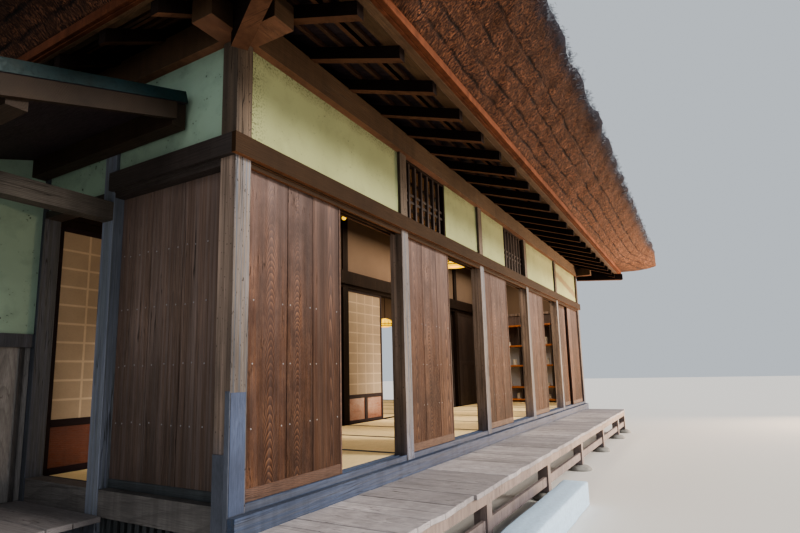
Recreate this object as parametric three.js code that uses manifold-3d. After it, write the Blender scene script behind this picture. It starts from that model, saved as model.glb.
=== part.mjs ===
// Thatched farmhouse with a front veranda and a lean-to porch on its left side.
// Millimetres, +Z up. The house is drawn from its front left corner post, with X along the
// front, Y into the building and Z from the ground, and is then centred on its own footprint.
import * as THREE from 'three';
import Module from 'manifold-3d';
import { mergeVertices } from 'three/addons/utils/BufferGeometryUtils.js';

const wasm = await Module();
wasm.setup();

// Plan
const BAY = 1818;
const BAYS = 5;
const POST = 114;
const WIDTH = BAYS * BAY + POST;
const SIDE_POST_NEAR = 1060;
const SIDE_POST_DOOR = 1870;
const DEPTH = SIDE_POST_DOOR + 3 * BAY + POST;
const SIDE_POSTS = [SIDE_POST_DOOR, SIDE_POST_DOOR + BAY, SIDE_POST_DOOR + 2 * BAY];
const GRID = Array.from({ length: BAYS + 1 }, (_, i) => i * BAY);

// Levels above the ground
const KERB_TOP = 100;
const GROUND_BEAM_TOP = 220;
const SKIRT_TOP = 400;
const DECK_TOP = 415;
const DECK_THICK = 35;
const SILL_BOARD = 50;
const SILL_LIP = 510;
const SILL_TOP = 550;
const FLOOR_BOTTOM = 440;
const FLOOR_TOP = 540;
const HEAD = 2310;
const HEAD_TOP = 2358;
const RAIL_TOP = 2463;
const PLATE_BOTTOM = 3025;
const PLATE_TOP = 3210;
const CEILING = 3255;

// Depths into a wall, measured from the posts' outer face
const RAIL_PROUD = 30;
const PLASTER = [25, 85];
const BOARDS = [65, 90];
const SKIRT = [60, 80];
const TIE = [68, 78];

// Sliding panels
const GAP = 0.3;
const RUNNING = 5;
const GROOVE_DEPTH = 10;
const TRACK_FRONT = [25, 63];
const TRACK_BACK = [67, 105];
const PANEL_THICK = 28;
const SHUTTER_WIDTH = 875;
const INNER_LEAF_X = 7750;

// Eaves: how far the rafter tips stand out from the posts, and their levels
const EAVE_FRONT = 690;
const EAVE_SIDE = 400;
const TIP_BOTTOM = 2980;
const RAFTER_HEIGHT = 80;
const RAFTER_WIDTH = 60;
const RAFTER_FIRST = 170;
const RAFTER_STEP = 443.2;
const RAFTER_INNER = 120;
const BATTEN_HEIGHT = 30;
const BATTEN_WIDTH = 35;
const BATTEN_PLACES = [430];
const BOARD_INNER = 580;
const BOARD_OUTER = 765;
const FASCIA_OUTER = 800;

// Thatch
const THATCH_START = 3125;
const THATCH_EDGE_OUT = 1420;
const THATCH_EDGE_SIDE = 1100;
const THATCH_EDGE_Z = 3560;
const RIDGE_Z = 8185;
const RIDGE_START = 2920;
const ATTIC_Z = 3850;
const ATTIC_RIDGE_Z = 7192;
const ATTIC_RIDGE_START = 3056;

// Lean-to on the left side
const WING_POST_X = -909;
const WING_BACK = SIDE_POSTS[2];
const ROOF_SLOPE = 0.303;
const ROOF_AT_WALL = 2815;
const ROOF_THICK = 70;
const ROOF_EDGE_X = -1360;
const VERGE_FRONT = 380;
const VERGE_BACK = 5970;
const PURLIN_DEEP = 140;
const DADO_TOP = 1404;
const DADO_RAIL_TOP = 1493;

const material = (color, roughness = 0.8, metalness = 0) =>
  new THREE.MeshStandardMaterial({ color, roughness, metalness });
const wood = {
  post: material('#6b5a4a'),
  sill: material('#5f6470'),
  rail: material('#6f4f38'),
  board: material('#704c3a'),
  plate: material('#744b35'),
  rafter: material('#2b211d'),
  soffit: material('#5a3b2c'),
  fascia: material('#8a5238'),
  deck: material('#97897a'),
  frame: material('#8a7866'),
  door: material('#2a201d'),
  shelf: material('#9a4a26'),
  beam: material('#8f7560'),
  dado: material('#4a4745'),
};
const plaster = material('#b9bd92', 0.95);
const paper = material('#d8c6a0', 0.9);
const tatami = material('#b89a5c', 0.9);
const thatch = material('#8a5a36', 1);
const bark = material('#4f3d2e', 0.95);
const stone = material('#8b8b86', 0.95);
const granite = material('#b9babb', 0.9);
const copper = material('#3f5d58', 0.55, 0.6);
const lampPaper = material('#e8c860', 0.7);
const ceilingWood = material('#7a6048');

const house = new THREE.Group();
const add = (name, shape, finish) => {
  const geometry = shape.isBufferGeometry ? shape : toGeometry(shape);
  const mesh = new THREE.Mesh(geometry, finish);
  mesh.name = name;
  house.add(mesh);
};

// Solids and their joins
function box(x0, x1, y0, y1, z0, z1) {
  const geometry = new THREE.BoxGeometry(x1 - x0, y1 - y0, z1 - z0);
  geometry.translate((x0 + x1) / 2, (y0 + y1) / 2, (z0 + z1) / 2);
  return toSolid(geometry);
}

function toSolid(geometry) {
  geometry.deleteAttribute('normal');
  geometry.deleteAttribute('uv');
  const merged = mergeVertices(geometry, 1e-3);
  return new wasm.Manifold(new wasm.Mesh({
    numProp: 3,
    vertProperties: new Float32Array(merged.attributes.position.array),
    triVerts: new Uint32Array(merged.index.array),
  }));
}

function toGeometry(solid) {
  const mesh = solid.getMesh();
  const points = new Float32Array(mesh.numVert * 3);
  for (let i = 0; i < mesh.numVert; i += 1) {
    for (let k = 0; k < 3; k += 1) {
      points[3 * i + k] = mesh.vertProperties[mesh.numProp * i + k];
    }
  }
  const geometry = new THREE.BufferGeometry();
  geometry.setAttribute('position', new THREE.BufferAttribute(points, 3));
  geometry.setIndex(new THREE.BufferAttribute(new Uint32Array(mesh.triVerts), 1));
  return geometry;
}

const join = (solids) => solids.reduce((whole, piece) => whole.add(piece));
const cut = (solid, tools) => tools.reduce((whole, tool) => whole.subtract(tool), solid);

// A polygon drawn in two of the axes and carried along the third from one value to another
function prism(points, along, from, to) {
  const shape = new THREE.Shape(points.map(([a, b]) => new THREE.Vector2(a, b)));
  const geometry = new THREE.ExtrudeGeometry(shape, { depth: to - from, bevelEnabled: false });
  const turn = new THREE.Matrix4();
  if (along === 'x') {
    turn.makeBasis(new THREE.Vector3(0, 1, 0), new THREE.Vector3(0, 0, 1), new THREE.Vector3(1, 0, 0));
    turn.setPosition(from, 0, 0);
  } else if (along === 'y') {
    turn.makeBasis(new THREE.Vector3(1, 0, 0), new THREE.Vector3(0, 0, 1), new THREE.Vector3(0, -1, 0));
    turn.setPosition(0, to, 0);
  } else {
    turn.setPosition(0, 0, from);
  }
  geometry.applyMatrix4(turn);
  return toSolid(geometry);
}

// A skin over rings with equal numbers of points. The first and last rings close on themselves.
function skin(rings) {
  const points = [];
  const faces = [];
  const count = rings[0].length;
  const key = new Map();
  const at = (p) => {
    const id = p.map((c) => c.toFixed(3)).join(' ');
    if (!key.has(id)) {
      key.set(id, points.length);
      points.push(p);
    }
    return key.get(id);
  };
  const face = (a, b, c) => {
    const ids = [at(a), at(b), at(c)];
    if (new Set(ids).size === 3) faces.push(ids);
  };
  const closed = rings[0].closed;
  const last = closed ? rings.length : rings.length - 1;
  for (let r = 0; r < last; r += 1) {
    const lower = rings[r];
    const upper = rings[(r + 1) % rings.length];
    for (let i = 0; i < count; i += 1) {
      const j = (i + 1) % count;
      face(lower[i], lower[j], upper[j]);
      face(lower[i], upper[j], upper[i]);
    }
  }
  let solid = new wasm.Manifold(new wasm.Mesh({
    numProp: 3,
    vertProperties: new Float32Array(points.flat()),
    triVerts: new Uint32Array(faces.flat()),
  }));
  if (solid.volume() < 0) {
    solid = new wasm.Manifold(new wasm.Mesh({
      numProp: 3,
      vertProperties: new Float32Array(points.flat()),
      triVerts: new Uint32Array(faces.map(([a, b, c]) => [a, c, b]).flat()),
    }));
  }
  return solid;
}

// A level ring round the house: how far it stands out at the front and at the sides.
// Its corners can be rounded, and can flare out further than the ring does between them.
const CORNER_POINTS = 5;
const FLARE_STEPS = [{ at: 0.045, share: 0.5 }, { at: 0.11, share: 0.1 }];
function houseCorners(front, side) {
  return [[-side, -front], [WIDTH + side, -front], [WIDTH + side, DEPTH + front], [-side, DEPTH + front]];
}

function houseRing(front, side, z, radius = 0, flare = [front, side]) {
  const base = houseCorners(front, side);
  const flared = houseCorners(...flare);
  const beside = (from, to, step) => {
    const point = [0, 1].map((k) => base[from][k] + (base[to][k] - base[from][k]) * step.at);
    const outwards = base[from][1] === base[to][1] ? 1 : 0;
    point[outwards] += (flared[from][outwards] - base[from][outwards]) * step.share;
    return [...point, z];
  };
  const ring = [];
  flared.forEach(([x, y], i) => {
    const cx = x + (x < WIDTH / 2 ? radius : -radius);
    const cy = y + (y < DEPTH / 2 ? radius : -radius);
    ring.push(...FLARE_STEPS.map((step) => beside(i, (i + 3) % 4, step)).reverse());
    for (let n = 0; n < CORNER_POINTS; n += 1) {
      const turn = radius > 0 ? n / (CORNER_POINTS - 1) : 0;
      const angle = THREE.MathUtils.degToRad(180 + 90 * (i + turn));
      ring.push([cx + radius * Math.cos(angle), cy + radius * Math.sin(angle), z]);
    }
    ring.push(...FLARE_STEPS.map((step) => beside(i, (i + 1) % 4, step)));
  });
  return ring;
}

// A band that runs round the house, from a closed outline of distance out and height
const SIDE_SHARE = EAVE_SIDE / EAVE_FRONT;
function band(outline) {
  const rings = outline.map(([out, z]) => houseRing(out, out * SIDE_SHARE, z));
  rings[0].closed = true;
  return skin(rings);
}

// A box on one side of the house: u along the wall, v from the posts' outer face inwards
function onSide(side, u0, u1, v0, v1, z0, z1) {
  if (side === 'front') return box(u0, u1, v0, v1, z0, z1);
  if (side === 'back') return box(u0, u1, DEPTH - v1, DEPTH - v0, z0, z1);
  if (side === 'left') return box(v0, v1, u0, u1, z0, z1);
  return box(WIDTH - v1, WIDTH - v0, u0, u1, z0, z1);
}

// Stretches of wall between posts
const BAY_SPANS = GRID.slice(0, -1).map((u) => [u + POST, u + BAY]);
const SIDE_SPANS = [
  [POST, SIDE_POST_DOOR],
  [SIDE_POST_DOOR + POST, SIDE_POSTS[1]],
  [SIDE_POSTS[1] + POST, SIDE_POSTS[2]],
  [SIDE_POSTS[2] + POST, DEPTH - POST],
];
const LEFT_SPANS = [
  [POST, SIDE_POST_NEAR],
  [SIDE_POST_NEAR + POST, SIDE_POST_DOOR],
  ...SIDE_SPANS.slice(1),
];

// Wall pieces between posts, held together by a thin tie that passes through the posts
function tied(side, pieces, tieLow, tieHigh) {
  const first = Math.min(...pieces.map((p) => p[0]));
  const last = Math.max(...pieces.map((p) => p[1]));
  const solids = pieces.map(([u0, u1, v0, v1, z0, z1]) => onSide(side, u0, u1, v0, v1, z0, z1));
  solids.push(onSide(side, first + 1, last - 1, TIE[0], TIE[1], tieLow, tieHigh));
  return join(solids);
}

const tieHole = (side, u0, u1, low, high) =>
  onSide(side, u0, u1, TIE[0] - GAP, TIE[1] + GAP, low - GAP, high + GAP);

const TIE_SILL = [470, 500];
const TIE_HEAD = [HEAD + 25, HEAD_TOP - 8];
const TIE_PLASTER = [2700, 2740];
const TIE_BAND = [HEAD_TOP, HEAD_TOP + 12];
const TIE_BOARDS = [1400, 1430];

// A doorway in the right wall, from the end of its boards to the next post
const RIGHT_OPENING = [4250, SIDE_POSTS[2]];

// Foundation
function foundationKerb() {
  const low = -20;
  const high = 180;
  const run = (side, u0, u1) => onSide(side, u0, u1, low, high, 0, KERB_TOP);
  const wing = [
    box(WING_POST_X - 30, WING_POST_X + POST + 30, SIDE_POST_NEAR - 30, WING_BACK + POST + 30, 0, KERB_TOP),
    box(WING_POST_X + POST, -low, SIDE_POST_NEAR - 30, SIDE_POST_NEAR + POST + 30, 0, KERB_TOP),
    box(WING_POST_X + POST, -low, WING_BACK - 30, WING_BACK + POST + 30, 0, KERB_TOP),
  ];
  return join([
    run('front', low, WIDTH - low),
    run('back', low, WIDTH - low),
    run('left', low, DEPTH - low),
    run('right', low, DEPTH - low),
    ...wing,
  ]);
}

// Posts of one side with the ground beam that joins them
function posts(side, places, u0, u1) {
  const pieces = places.map((u) => onSide(side, u, u + POST, 0, POST, KERB_TOP, PLATE_BOTTOM));
  pieces.push(onSide(side, u0, u1, 0, POST, KERB_TOP, GROUND_BEAM_TOP));
  return join(pieces);
}

function frontPosts() {
  const holes = [TIE_SILL, TIE_HEAD, TIE_BAND].map(([low, high]) =>
    tieHole('front', POST + 0.5, WIDTH - POST - 0.5, low, high));
  return cut(posts('front', GRID, 0, WIDTH), holes);
}

function leftPosts() {
  const places = [SIDE_POST_NEAR, ...SIDE_POSTS];
  const holes = [TIE_SILL, TIE_HEAD, TIE_PLASTER].map(([low, high]) =>
    tieHole('left', POST + 0.5, DEPTH - POST - 0.5, low, high));
  holes.push(tieHole('left', SIDE_SPANS[1][0] + 0.5, DEPTH - POST - 0.5, ...TIE_BOARDS));
  return cut(posts('left', places, POST, DEPTH - POST), holes);
}

// An unseen side: posts, sill and head rails in one plain frame
function plainFrame(side, places, spans, u0, u1) {
  const pieces = [posts(side, places, u0, u1)];
  for (const [a, b] of spans) {
    const from = Math.max(a - 1, POST);
    const to = Math.min(b + 1, u1);
    pieces.push(onSide(side, from, to, 5, POST, FLOOR_BOTTOM - 40, SILL_TOP));
    pieces.push(onSide(side, from, to, 5, POST, HEAD, HEAD_TOP));
    pieces.push(onSide(side, from, to, SKIRT[0], SKIRT[1], GROUND_BEAM_TOP - 1, SKIRT_TOP + 1));
  }
  pieces.push(onSide(side, u0, u1, -RAIL_PROUD, 1, HEAD_TOP, RAIL_TOP));
  const boardsEnd = side === 'back' ? WIDTH - POST : RIGHT_OPENING[0];
  const end = side === 'back' ? WIDTH - POST : DEPTH - POST;
  return cut(join(pieces), [
    tieHole(side, POST + 0.5, end - 0.5, ...TIE_PLASTER),
    tieHole(side, POST + 0.5, boardsEnd - 0.5, ...TIE_BOARDS),
  ]);
}

// Sills, skirtings and head rails of the two sides that show
function frontSill() {
  const pieces = [];
  for (const [a, b] of BAY_SPANS) {
    pieces.push([a, b, 5, POST, FLOOR_BOTTOM, SILL_TOP]);
    pieces.push([a, b, SKIRT[0], SKIRT[1], GROUND_BEAM_TOP, FLOOR_BOTTOM + 1]);
  }
  const body = tied('front', pieces, ...TIE_SILL);
  const lip = BAY_SPANS.map(([a, b]) => box(a, b, -1, 10, DECK_TOP + 30, SILL_LIP - 10));
  const board = box(-2, WIDTH + 2, -SILL_BOARD, 0, DECK_TOP - DECK_THICK + GAP, SILL_LIP);
  const whole = join([body, board, ...lip]);
  return cut(whole, grooves(BAY_SPANS, SILL_TOP - GROOVE_DEPTH, SILL_TOP + 1));
}

function grooves(spans, z0, z1) {
  return spans.flatMap(([a, b]) => [TRACK_FRONT, TRACK_BACK].map(([v0, v1]) => box(a - 1, b + 1, v0, v1, z0, z1)));
}

const HEAD_GROOVE = 20;
function frontLintel() {
  const pieces = BAY_SPANS.map(([a, b]) => [a, b, 5, POST, HEAD, HEAD_TOP]);
  const tracks = tied('front', pieces, ...TIE_HEAD);
  const lip = BAY_SPANS.map(([a, b]) => box(a, b, -1, 10, HEAD_TOP - 20, HEAD_TOP));
  const rail = box(-RAIL_PROUD, WIDTH + RAIL_PROUD, -RAIL_PROUD, 0, HEAD_TOP - 10, RAIL_TOP);
  return cut(join([tracks, rail, ...lip]), grooves(BAY_SPANS, HEAD - 1, HEAD + HEAD_GROOVE));
}

function leftSill() {
  const pieces = LEFT_SPANS.flatMap(([a, b]) => [
    [a, b, 5, POST, SKIRT_TOP, SILL_TOP],
    [a, b, SKIRT[0], SKIRT[1], GROUND_BEAM_TOP, SKIRT_TOP + 1],
  ]);
  return tied('left', pieces, ...TIE_SILL);
}

function leftLintel() {
  const pieces = LEFT_SPANS.map(([a, b]) => [a, b, 5, POST, HEAD, HEAD_TOP]);
  const body = tied('left', pieces, ...TIE_HEAD);
  const rail = box(-RAIL_PROUD, 0, GAP, SIDE_POST_NEAR + 20, HEAD_TOP - 10, RAIL_TOP);
  const lip = box(-1, 10, POST, SIDE_POST_NEAR, HEAD_TOP - 20, HEAD_TOP);
  return join([body, rail, lip]);
}

// Plaster band over the head rail
const WINDOW_1 = [BAY + POST, 2775];
const WINDOW_2 = [4605, 3 * BAY];
function frontPlaster() {
  const spans = BAY_SPANS.map(([a, b]) => [a, b]);
  spans[1][0] = WINDOW_1[1];
  spans[2][1] = WINDOW_2[0];
  const solids = spans.map(([a, b]) => box(a, b, PLASTER[0], PLASTER[1], HEAD_TOP, PLATE_BOTTOM));
  solids.push(box(POST + 1, WIDTH - POST - 1, TIE[0], TIE[1], ...TIE_BAND));
  return join(solids);
}

const sidePlaster = (side, spans) => tied(side, spans.map(([a, b]) =>
  [a, b, PLASTER[0], PLASTER[1], HEAD_TOP, PLATE_BOTTOM]), ...TIE_PLASTER);

// A window frame with its middle rails: the bars are set in it
const FRAME = 25;
function windowFrame([u0, u1]) {
  const z0 = HEAD_TOP + 12 + GAP;
  const outer = box(u0, u1, 30, 80, z0, PLATE_BOTTOM);
  const inner = box(u0 + FRAME, u1 - FRAME, 20, 90, z0 + FRAME, PLATE_BOTTOM - FRAME);
  return cut(outer, [inner]);
}

// Wall boards
const boardsOn = (side, spans) => tied(side, spans.map(([a, b]) =>
  [a, b, BOARDS[0], BOARDS[1], SILL_TOP, HEAD]), ...TIE_BOARDS);

// Sliding panels
const SHUTTER_LOW = SILL_TOP - GROOVE_DEPTH + GAP;
const SHUTTER_HIGH = HEAD + HEAD_GROOVE - RUNNING;
function shutter(x, track) {
  const y = track[0] + RUNNING;
  return box(x, x + SHUTTER_WIDTH, y, y + PANEL_THICK, SHUTTER_LOW, SHUTTER_HIGH);
}

// Floor with the grooved sill of the inner partition
const PARTITION = [SIDE_POST_DOOR, SIDE_POST_DOOR + POST];
const INNER_SILL = 545;
const INNER_HEAD = 2290;
const INNER_RAIL_TOP = 2510;
const innerTrack = (n) => TRACKS_IN[n].map((v) => PARTITION[0] + v);
const TRACKS_IN = [[15, 55], [59, 99]];
function floor() {
  const slab = box(POST, WIDTH - POST, POST, DEPTH - POST, FLOOR_BOTTOM, FLOOR_TOP);
  const sill = box(POST, WIDTH - POST, ...PARTITION, FLOOR_TOP - 1, INNER_SILL);
  const tracks = [0, 1].map((n) => box(POST - 1, WIDTH, ...innerTrack(n), FLOOR_TOP - 5, INNER_SILL + 1));
  return cut(join([slab, sill]), tracks);
}

const INNER_SPANS = BAY_SPANS;
function partitionFrame() {
  const pieces = GRID.slice(1, -1).map((x) => box(x, x + POST, ...PARTITION, INNER_SILL, CEILING));
  for (const [a, b] of INNER_SPANS) {
    const from = Math.max(a - 1, POST);
    const to = Math.min(b + 1, WIDTH - POST);
    pieces.push(box(from, to, PARTITION[0] + 5, PARTITION[1] - 5, INNER_HEAD, INNER_HEAD + 60));
  }
  pieces.push(box(POST, WIDTH - POST, PARTITION[0] - 22, PARTITION[0] + 10, INNER_HEAD + 50, INNER_RAIL_TOP));
  const heads = [0, 1].map((n) => box(POST - 2, WIDTH - POST + 2, ...innerTrack(n), INNER_HEAD - 1, INNER_HEAD + 15));
  const posts4 = GRID.slice(1, -1).map((x) => box(x, x + POST, ...PARTITION, INNER_HEAD - 2, INNER_HEAD + 20));
  const tie = box(POST, WIDTH - POST, PARTITION[0] + 50 - GAP, PARTITION[0] + 60 + GAP, 2700 - GAP, 2740 + GAP);
  const feet = GRID.slice(1, -1).flatMap((x) => [0, 1].map((n) =>
    box(x, x + POST, innerTrack(n)[0] + GAP, innerTrack(n)[1] - GAP, FLOOR_TOP - 5 + GAP, INNER_SILL + 1)));
  return cut(join([cut(join(pieces), heads), ...posts4, ...feet]), [tie]);
}

function partitionPlaster() {
  const solids = INNER_SPANS.map(([a, b]) =>
    box(a, b, PARTITION[0] + 25, PARTITION[1] - 25, INNER_HEAD + 60, CEILING));
  solids.push(box(POST + 1, WIDTH - POST - 1, PARTITION[0] + 50, PARTITION[0] + 60, 2700, 2740));
  const overPlates = ['left', 'right'].map((side) =>
    onSide(side, ...PARTITION, 0, RAFTER_INNER + GAP, PLATE_TOP, CEILING + 1));
  return cut(join(solids), [...plateSpace(), ...overPlates]);
}

const LEAF = 862;
const LEAF_LOW = FLOOR_TOP - 5 + GAP;
const LEAF_HIGH = INNER_HEAD + 10;
function leaf(x, n, thick = 30) {
  const y = innerTrack(n)[0] + RUNNING;
  return box(x, x + LEAF, y, y + thick, LEAF_LOW, LEAF_HIGH);
}
const bayLeft = (n) => n * BAY + POST + RUNNING;
const bayRight = (n) => (n + 1) * BAY - RUNNING - LEAF;

// The other leaves of the partition stay shut, in pairs joined by thin tongues in the tracks
function fixedLeaves() {
  const places = [[bayRight(0) + RUNNING, 1], [BAY + POST, 0], [bayRight(1) + RUNNING, 1], [3 * BAY + POST, 0],
    [bayRight(3) + RUNNING, 1], [bayRight(4) + RUNNING, 1]];
  return places.map(([x, n]) => leaf(x, n));
}

// Wall plates, halved over each other at the corners, with their ends standing out
const PLATE = [-30, 120];
const PLATE_END_LONG = 290;
const PLATE_END = 215;
const PLATE_END_TOP = 3170;
function wallPlates() {
  const pieces = ['front', 'back'].flatMap((side) => [
    onSide(side, PLATE[0], WIDTH - PLATE[0], ...PLATE, PLATE_BOTTOM, PLATE_TOP),
    onSide(side, -PLATE_END, WIDTH + PLATE_END, ...PLATE, PLATE_BOTTOM, PLATE_END_TOP),
  ]);
  for (const side of ['left', 'right']) {
    pieces.push(onSide(side, PLATE[0], DEPTH - PLATE[0], ...PLATE, PLATE_BOTTOM, PLATE_TOP));
    pieces.push(onSide(side, -PLATE_END_LONG, DEPTH + PLATE_END_LONG, ...PLATE, PLATE_BOTTOM, PLATE_END_TOP));
  }
  return join(pieces);
}

// Rafters of one side with the battens on them, as far as the hips
const TIP_RISE = PLATE_TOP - TIP_BOTTOM;
function eaveSide(side) {
  const out = side === 'front' || side === 'back' ? EAVE_FRONT : EAVE_SIDE;
  const share = out / EAVE_FRONT;
  const length = side === 'front' || side === 'back' ? WIDTH : DEPTH;
  const slope = TIP_RISE / out;
  const under = (v) => TIP_BOTTOM + slope * (v + out);
  const outline = (v0, v1, low, high) => [[v0, under(v0) + low], [v1, under(v1) + low],
    [v1, under(v1) + high], [v0, under(v0) + high]];
  const run = (points, u0, u1) => {
    if (side === 'front') return prism(points, 'x', u0, u1);
    if (side === 'left') return prism(points, 'y', u0, u1);
    if (side === 'back') return prism(points.map(([v, z]) => [DEPTH - v, z]).reverse(), 'x', u0, u1);
    return prism(points.map(([v, z]) => [WIDTH - v, z]).reverse(), 'y', u0, u1);
  };
  const count = Math.round((length - 2 * RAFTER_FIRST) / RAFTER_STEP);
  const step = (length - 2 * RAFTER_FIRST) / count;
  const pieces = [];
  for (let i = -1; i <= count + 1; i += 1) {
    const u = RAFTER_FIRST + step * i - RAFTER_WIDTH / 2;
    const inner = i < 0 || i > count ? -1 : RAFTER_INNER;
    pieces.push(run(outline(-out, inner, 0, RAFTER_HEIGHT), u, u + RAFTER_WIDTH));
  }
  const over = EAVE_FRONT * 1.4;
  for (const place of BATTEN_PLACES) {
    const v = -place * share;
    const half = BATTEN_WIDTH / 2;
    const shape = outline(v - half, v + half, RAFTER_HEIGHT - 2, RAFTER_HEIGHT + BATTEN_HEIGHT);
    pieces.push(run(shape, -over, length + over));
  }
  return join(pieces).intersect(wedge(side));
}

// The share of the plan between two hips that belongs to one side
function wedge(side) {
  const outFar = 1000;
  const inFar = 200;
  const a = [-outFar * SIDE_SHARE, -outFar];
  const b = [inFar * SIDE_SHARE, inFar];
  const mirrorX = ([x, y]) => [WIDTH - x, y];
  const mirrorY = ([x, y]) => [x, DEPTH - y];
  const front = [a, mirrorX(a), mirrorX(b), b];
  const left = [a, b, mirrorY(b), mirrorY(a)];
  const plan = {
    front,
    back: front.map(mirrorY).reverse(),
    left,
    right: left.map(mirrorX).reverse(),
  }[side];
  return prism(plan, 'z', TIP_BOTTOM - 300, PLATE_TOP + 800);
}

// A hip rafter from the wall corner out to the corner of the eaves: level below, sloped on top
const HIP_WIDTH = 90;
const HIP_BOTTOM = 2945;
const HIP_SEAT = 150;
const HIP_DROP = 25;
// Places along a hip rafter, as shares of the rafters' overhang
const HIP_INNER = -0.17;
const HIP_LEVEL = 0.9;
const HIP_END = 1.16;
function hipRafter(flipX, flipY) {
  const length = Math.hypot(EAVE_SIDE, EAVE_FRONT);
  const top = TIP_BOTTOM + RAFTER_HEIGHT;
  const inner = top - HIP_DROP + TIP_RISE * (1 - HIP_INNER);
  const outside = 0.03;
  const outline = [
    [HIP_INNER, inner], [HIP_INNER, inner - HIP_SEAT], [outside, inner - HIP_SEAT], [outside, HIP_BOTTOM],
    [HIP_END, HIP_BOTTOM], [HIP_END, top - GAP], [HIP_LEVEL, top - GAP],
  ].map(([t, z]) => [t * length, z]);
  const angle = THREE.MathUtils.radToDeg(Math.atan2(-EAVE_FRONT, -EAVE_SIDE));
  let beam = prism(outline, 'y', -HIP_WIDTH / 2, HIP_WIDTH / 2).rotate([0, 0, angle]);
  if (flipX) beam = beam.mirror([1, 0, 0]).translate([WIDTH, 0, 0]);
  if (flipY) beam = beam.mirror([0, 1, 0]).translate([0, DEPTH, 0]);
  return beam;
}

function eaveRafters(plates) {
  const sides = ['front', 'back', 'left', 'right'].map(eaveSide);
  const hips = [[false, false], [true, false], [true, true], [false, true]].map(([x, y]) => hipRafter(x, y));
  return cut(join([...sides, ...hips]), plates);
}

// Space of the wall plates with a little clearance, for the notches in the rafters
function plateSpace() {
  const g = GAP;
  const low = PLATE[0] - g;
  const high = PLATE[1] + g;
  const boxes = [];
  for (const side of ['front', 'back']) {
    boxes.push(onSide(side, low, WIDTH - low, low, high, PLATE_BOTTOM - g, PLATE_TOP + g));
    boxes.push(onSide(side, -PLATE_END - g, WIDTH + PLATE_END + g, low, high, PLATE_BOTTOM - g, PLATE_END_TOP + g));
  }
  for (const side of ['left', 'right']) {
    boxes.push(onSide(side, low, DEPTH - low, low, high, PLATE_BOTTOM - g, PLATE_TOP + g));
    const end = PLATE_END_LONG + g;
    boxes.push(onSide(side, -end, DEPTH + end, low, high, PLATE_BOTTOM - g, PLATE_END_TOP + g));
  }
  return boxes;
}

const rafterTop = (out) => TIP_BOTTOM + RAFTER_HEIGHT + TIP_RISE / EAVE_FRONT * (EAVE_FRONT - out);
const SOFFIT_THICK = 15;
function eaveSoffit() {
  const low = BATTEN_HEIGHT + GAP;
  return band([
    [-RAFTER_INNER, rafterTop(-RAFTER_INNER) + low],
    [BOARD_INNER, rafterTop(BOARD_INNER) + low],
    [BOARD_INNER, rafterTop(BOARD_INNER) + GAP],
    [EAVE_FRONT, rafterTop(EAVE_FRONT) + GAP],
    [BOARD_OUTER, rafterTop(EAVE_FRONT) + GAP],
    [BOARD_OUTER, rafterTop(EAVE_FRONT) + 50],
    [BOARD_INNER + 20, rafterTop(BOARD_INNER + 20) + low + SOFFIT_THICK],
    [-RAFTER_INNER, rafterTop(-RAFTER_INNER) + low + SOFFIT_THICK],
  ]);
}

const FASCIA_LOW = 3068;
function eaveFascia() {
  return band([
    [BOARD_OUTER + GAP, FASCIA_LOW],
    [FASCIA_OUTER, FASCIA_LOW],
    [FASCIA_OUTER, THATCH_START],
    [BOARD_OUTER + GAP, THATCH_START],
  ]);
}

// Thatch: the ridge, the outer slope, the cut edge with flared corners, the underside and the attic
const THATCH_EDGE_RADIUS = 320;
const FLARE_Z = 3250;
const FLARE_RADIUS = 120;
const FLARE_INSET = 20;
function thatchRoof() {
  const over = BATTEN_HEIGHT + SOFFIT_THICK + 2 * GAP + 0.5;
  const halfDepth = DEPTH / 2;
  const start = FASCIA_OUTER - 10;
  const rise = (FLARE_Z - THATCH_START) / (THATCH_EDGE_Z - THATCH_START);
  const flareOut = THREE.MathUtils.lerp(start, THATCH_EDGE_OUT, rise);
  const flareSide = THREE.MathUtils.lerp(start * SIDE_SHARE, THATCH_EDGE_SIDE, rise);
  const corner = [THATCH_EDGE_OUT - FLARE_INSET, THATCH_EDGE_SIDE - FLARE_INSET];
  return skin([
    houseRing(-halfDepth, -RIDGE_START, RIDGE_Z),
    houseRing(THATCH_EDGE_OUT, THATCH_EDGE_SIDE, THATCH_EDGE_Z, THATCH_EDGE_RADIUS),
    houseRing(flareOut, flareSide, FLARE_Z, FLARE_RADIUS, corner),
    houseRing(start, start * SIDE_SHARE, THATCH_START + GAP),
    houseRing(BOARD_INNER, BOARD_INNER * SIDE_SHARE, rafterTop(BOARD_INNER) + over),
    houseRing(-RAFTER_INNER, -RAFTER_INNER * SIDE_SHARE, rafterTop(-RAFTER_INNER) + over),
    houseRing(-RAFTER_INNER, -RAFTER_INNER * SIDE_SHARE, ATTIC_Z),
    houseRing(-halfDepth, -ATTIC_RIDGE_START, ATTIC_RIDGE_Z),
  ]);
}

// Bark cap over the ridge
function ridgeCap() {
  const middle = DEPTH / 2;
  const slope = (RIDGE_Z - THATCH_EDGE_Z) / (THATCH_EDGE_OUT + middle);
  const reach = 650;
  const thick = 150;
  const foot = RIDGE_Z - slope * reach + 1;
  return prism([
    [middle - reach, foot], [middle, RIDGE_Z + 1], [middle + reach, foot], [middle + reach, foot + thick],
    [middle + 130, RIDGE_Z + 190], [middle, RIDGE_Z + 240], [middle - 130, RIDGE_Z + 190],
    [middle - reach, foot + thick],
  ], 'x', RIDGE_START - 220, WIDTH - RIDGE_START + 220);
}

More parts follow.
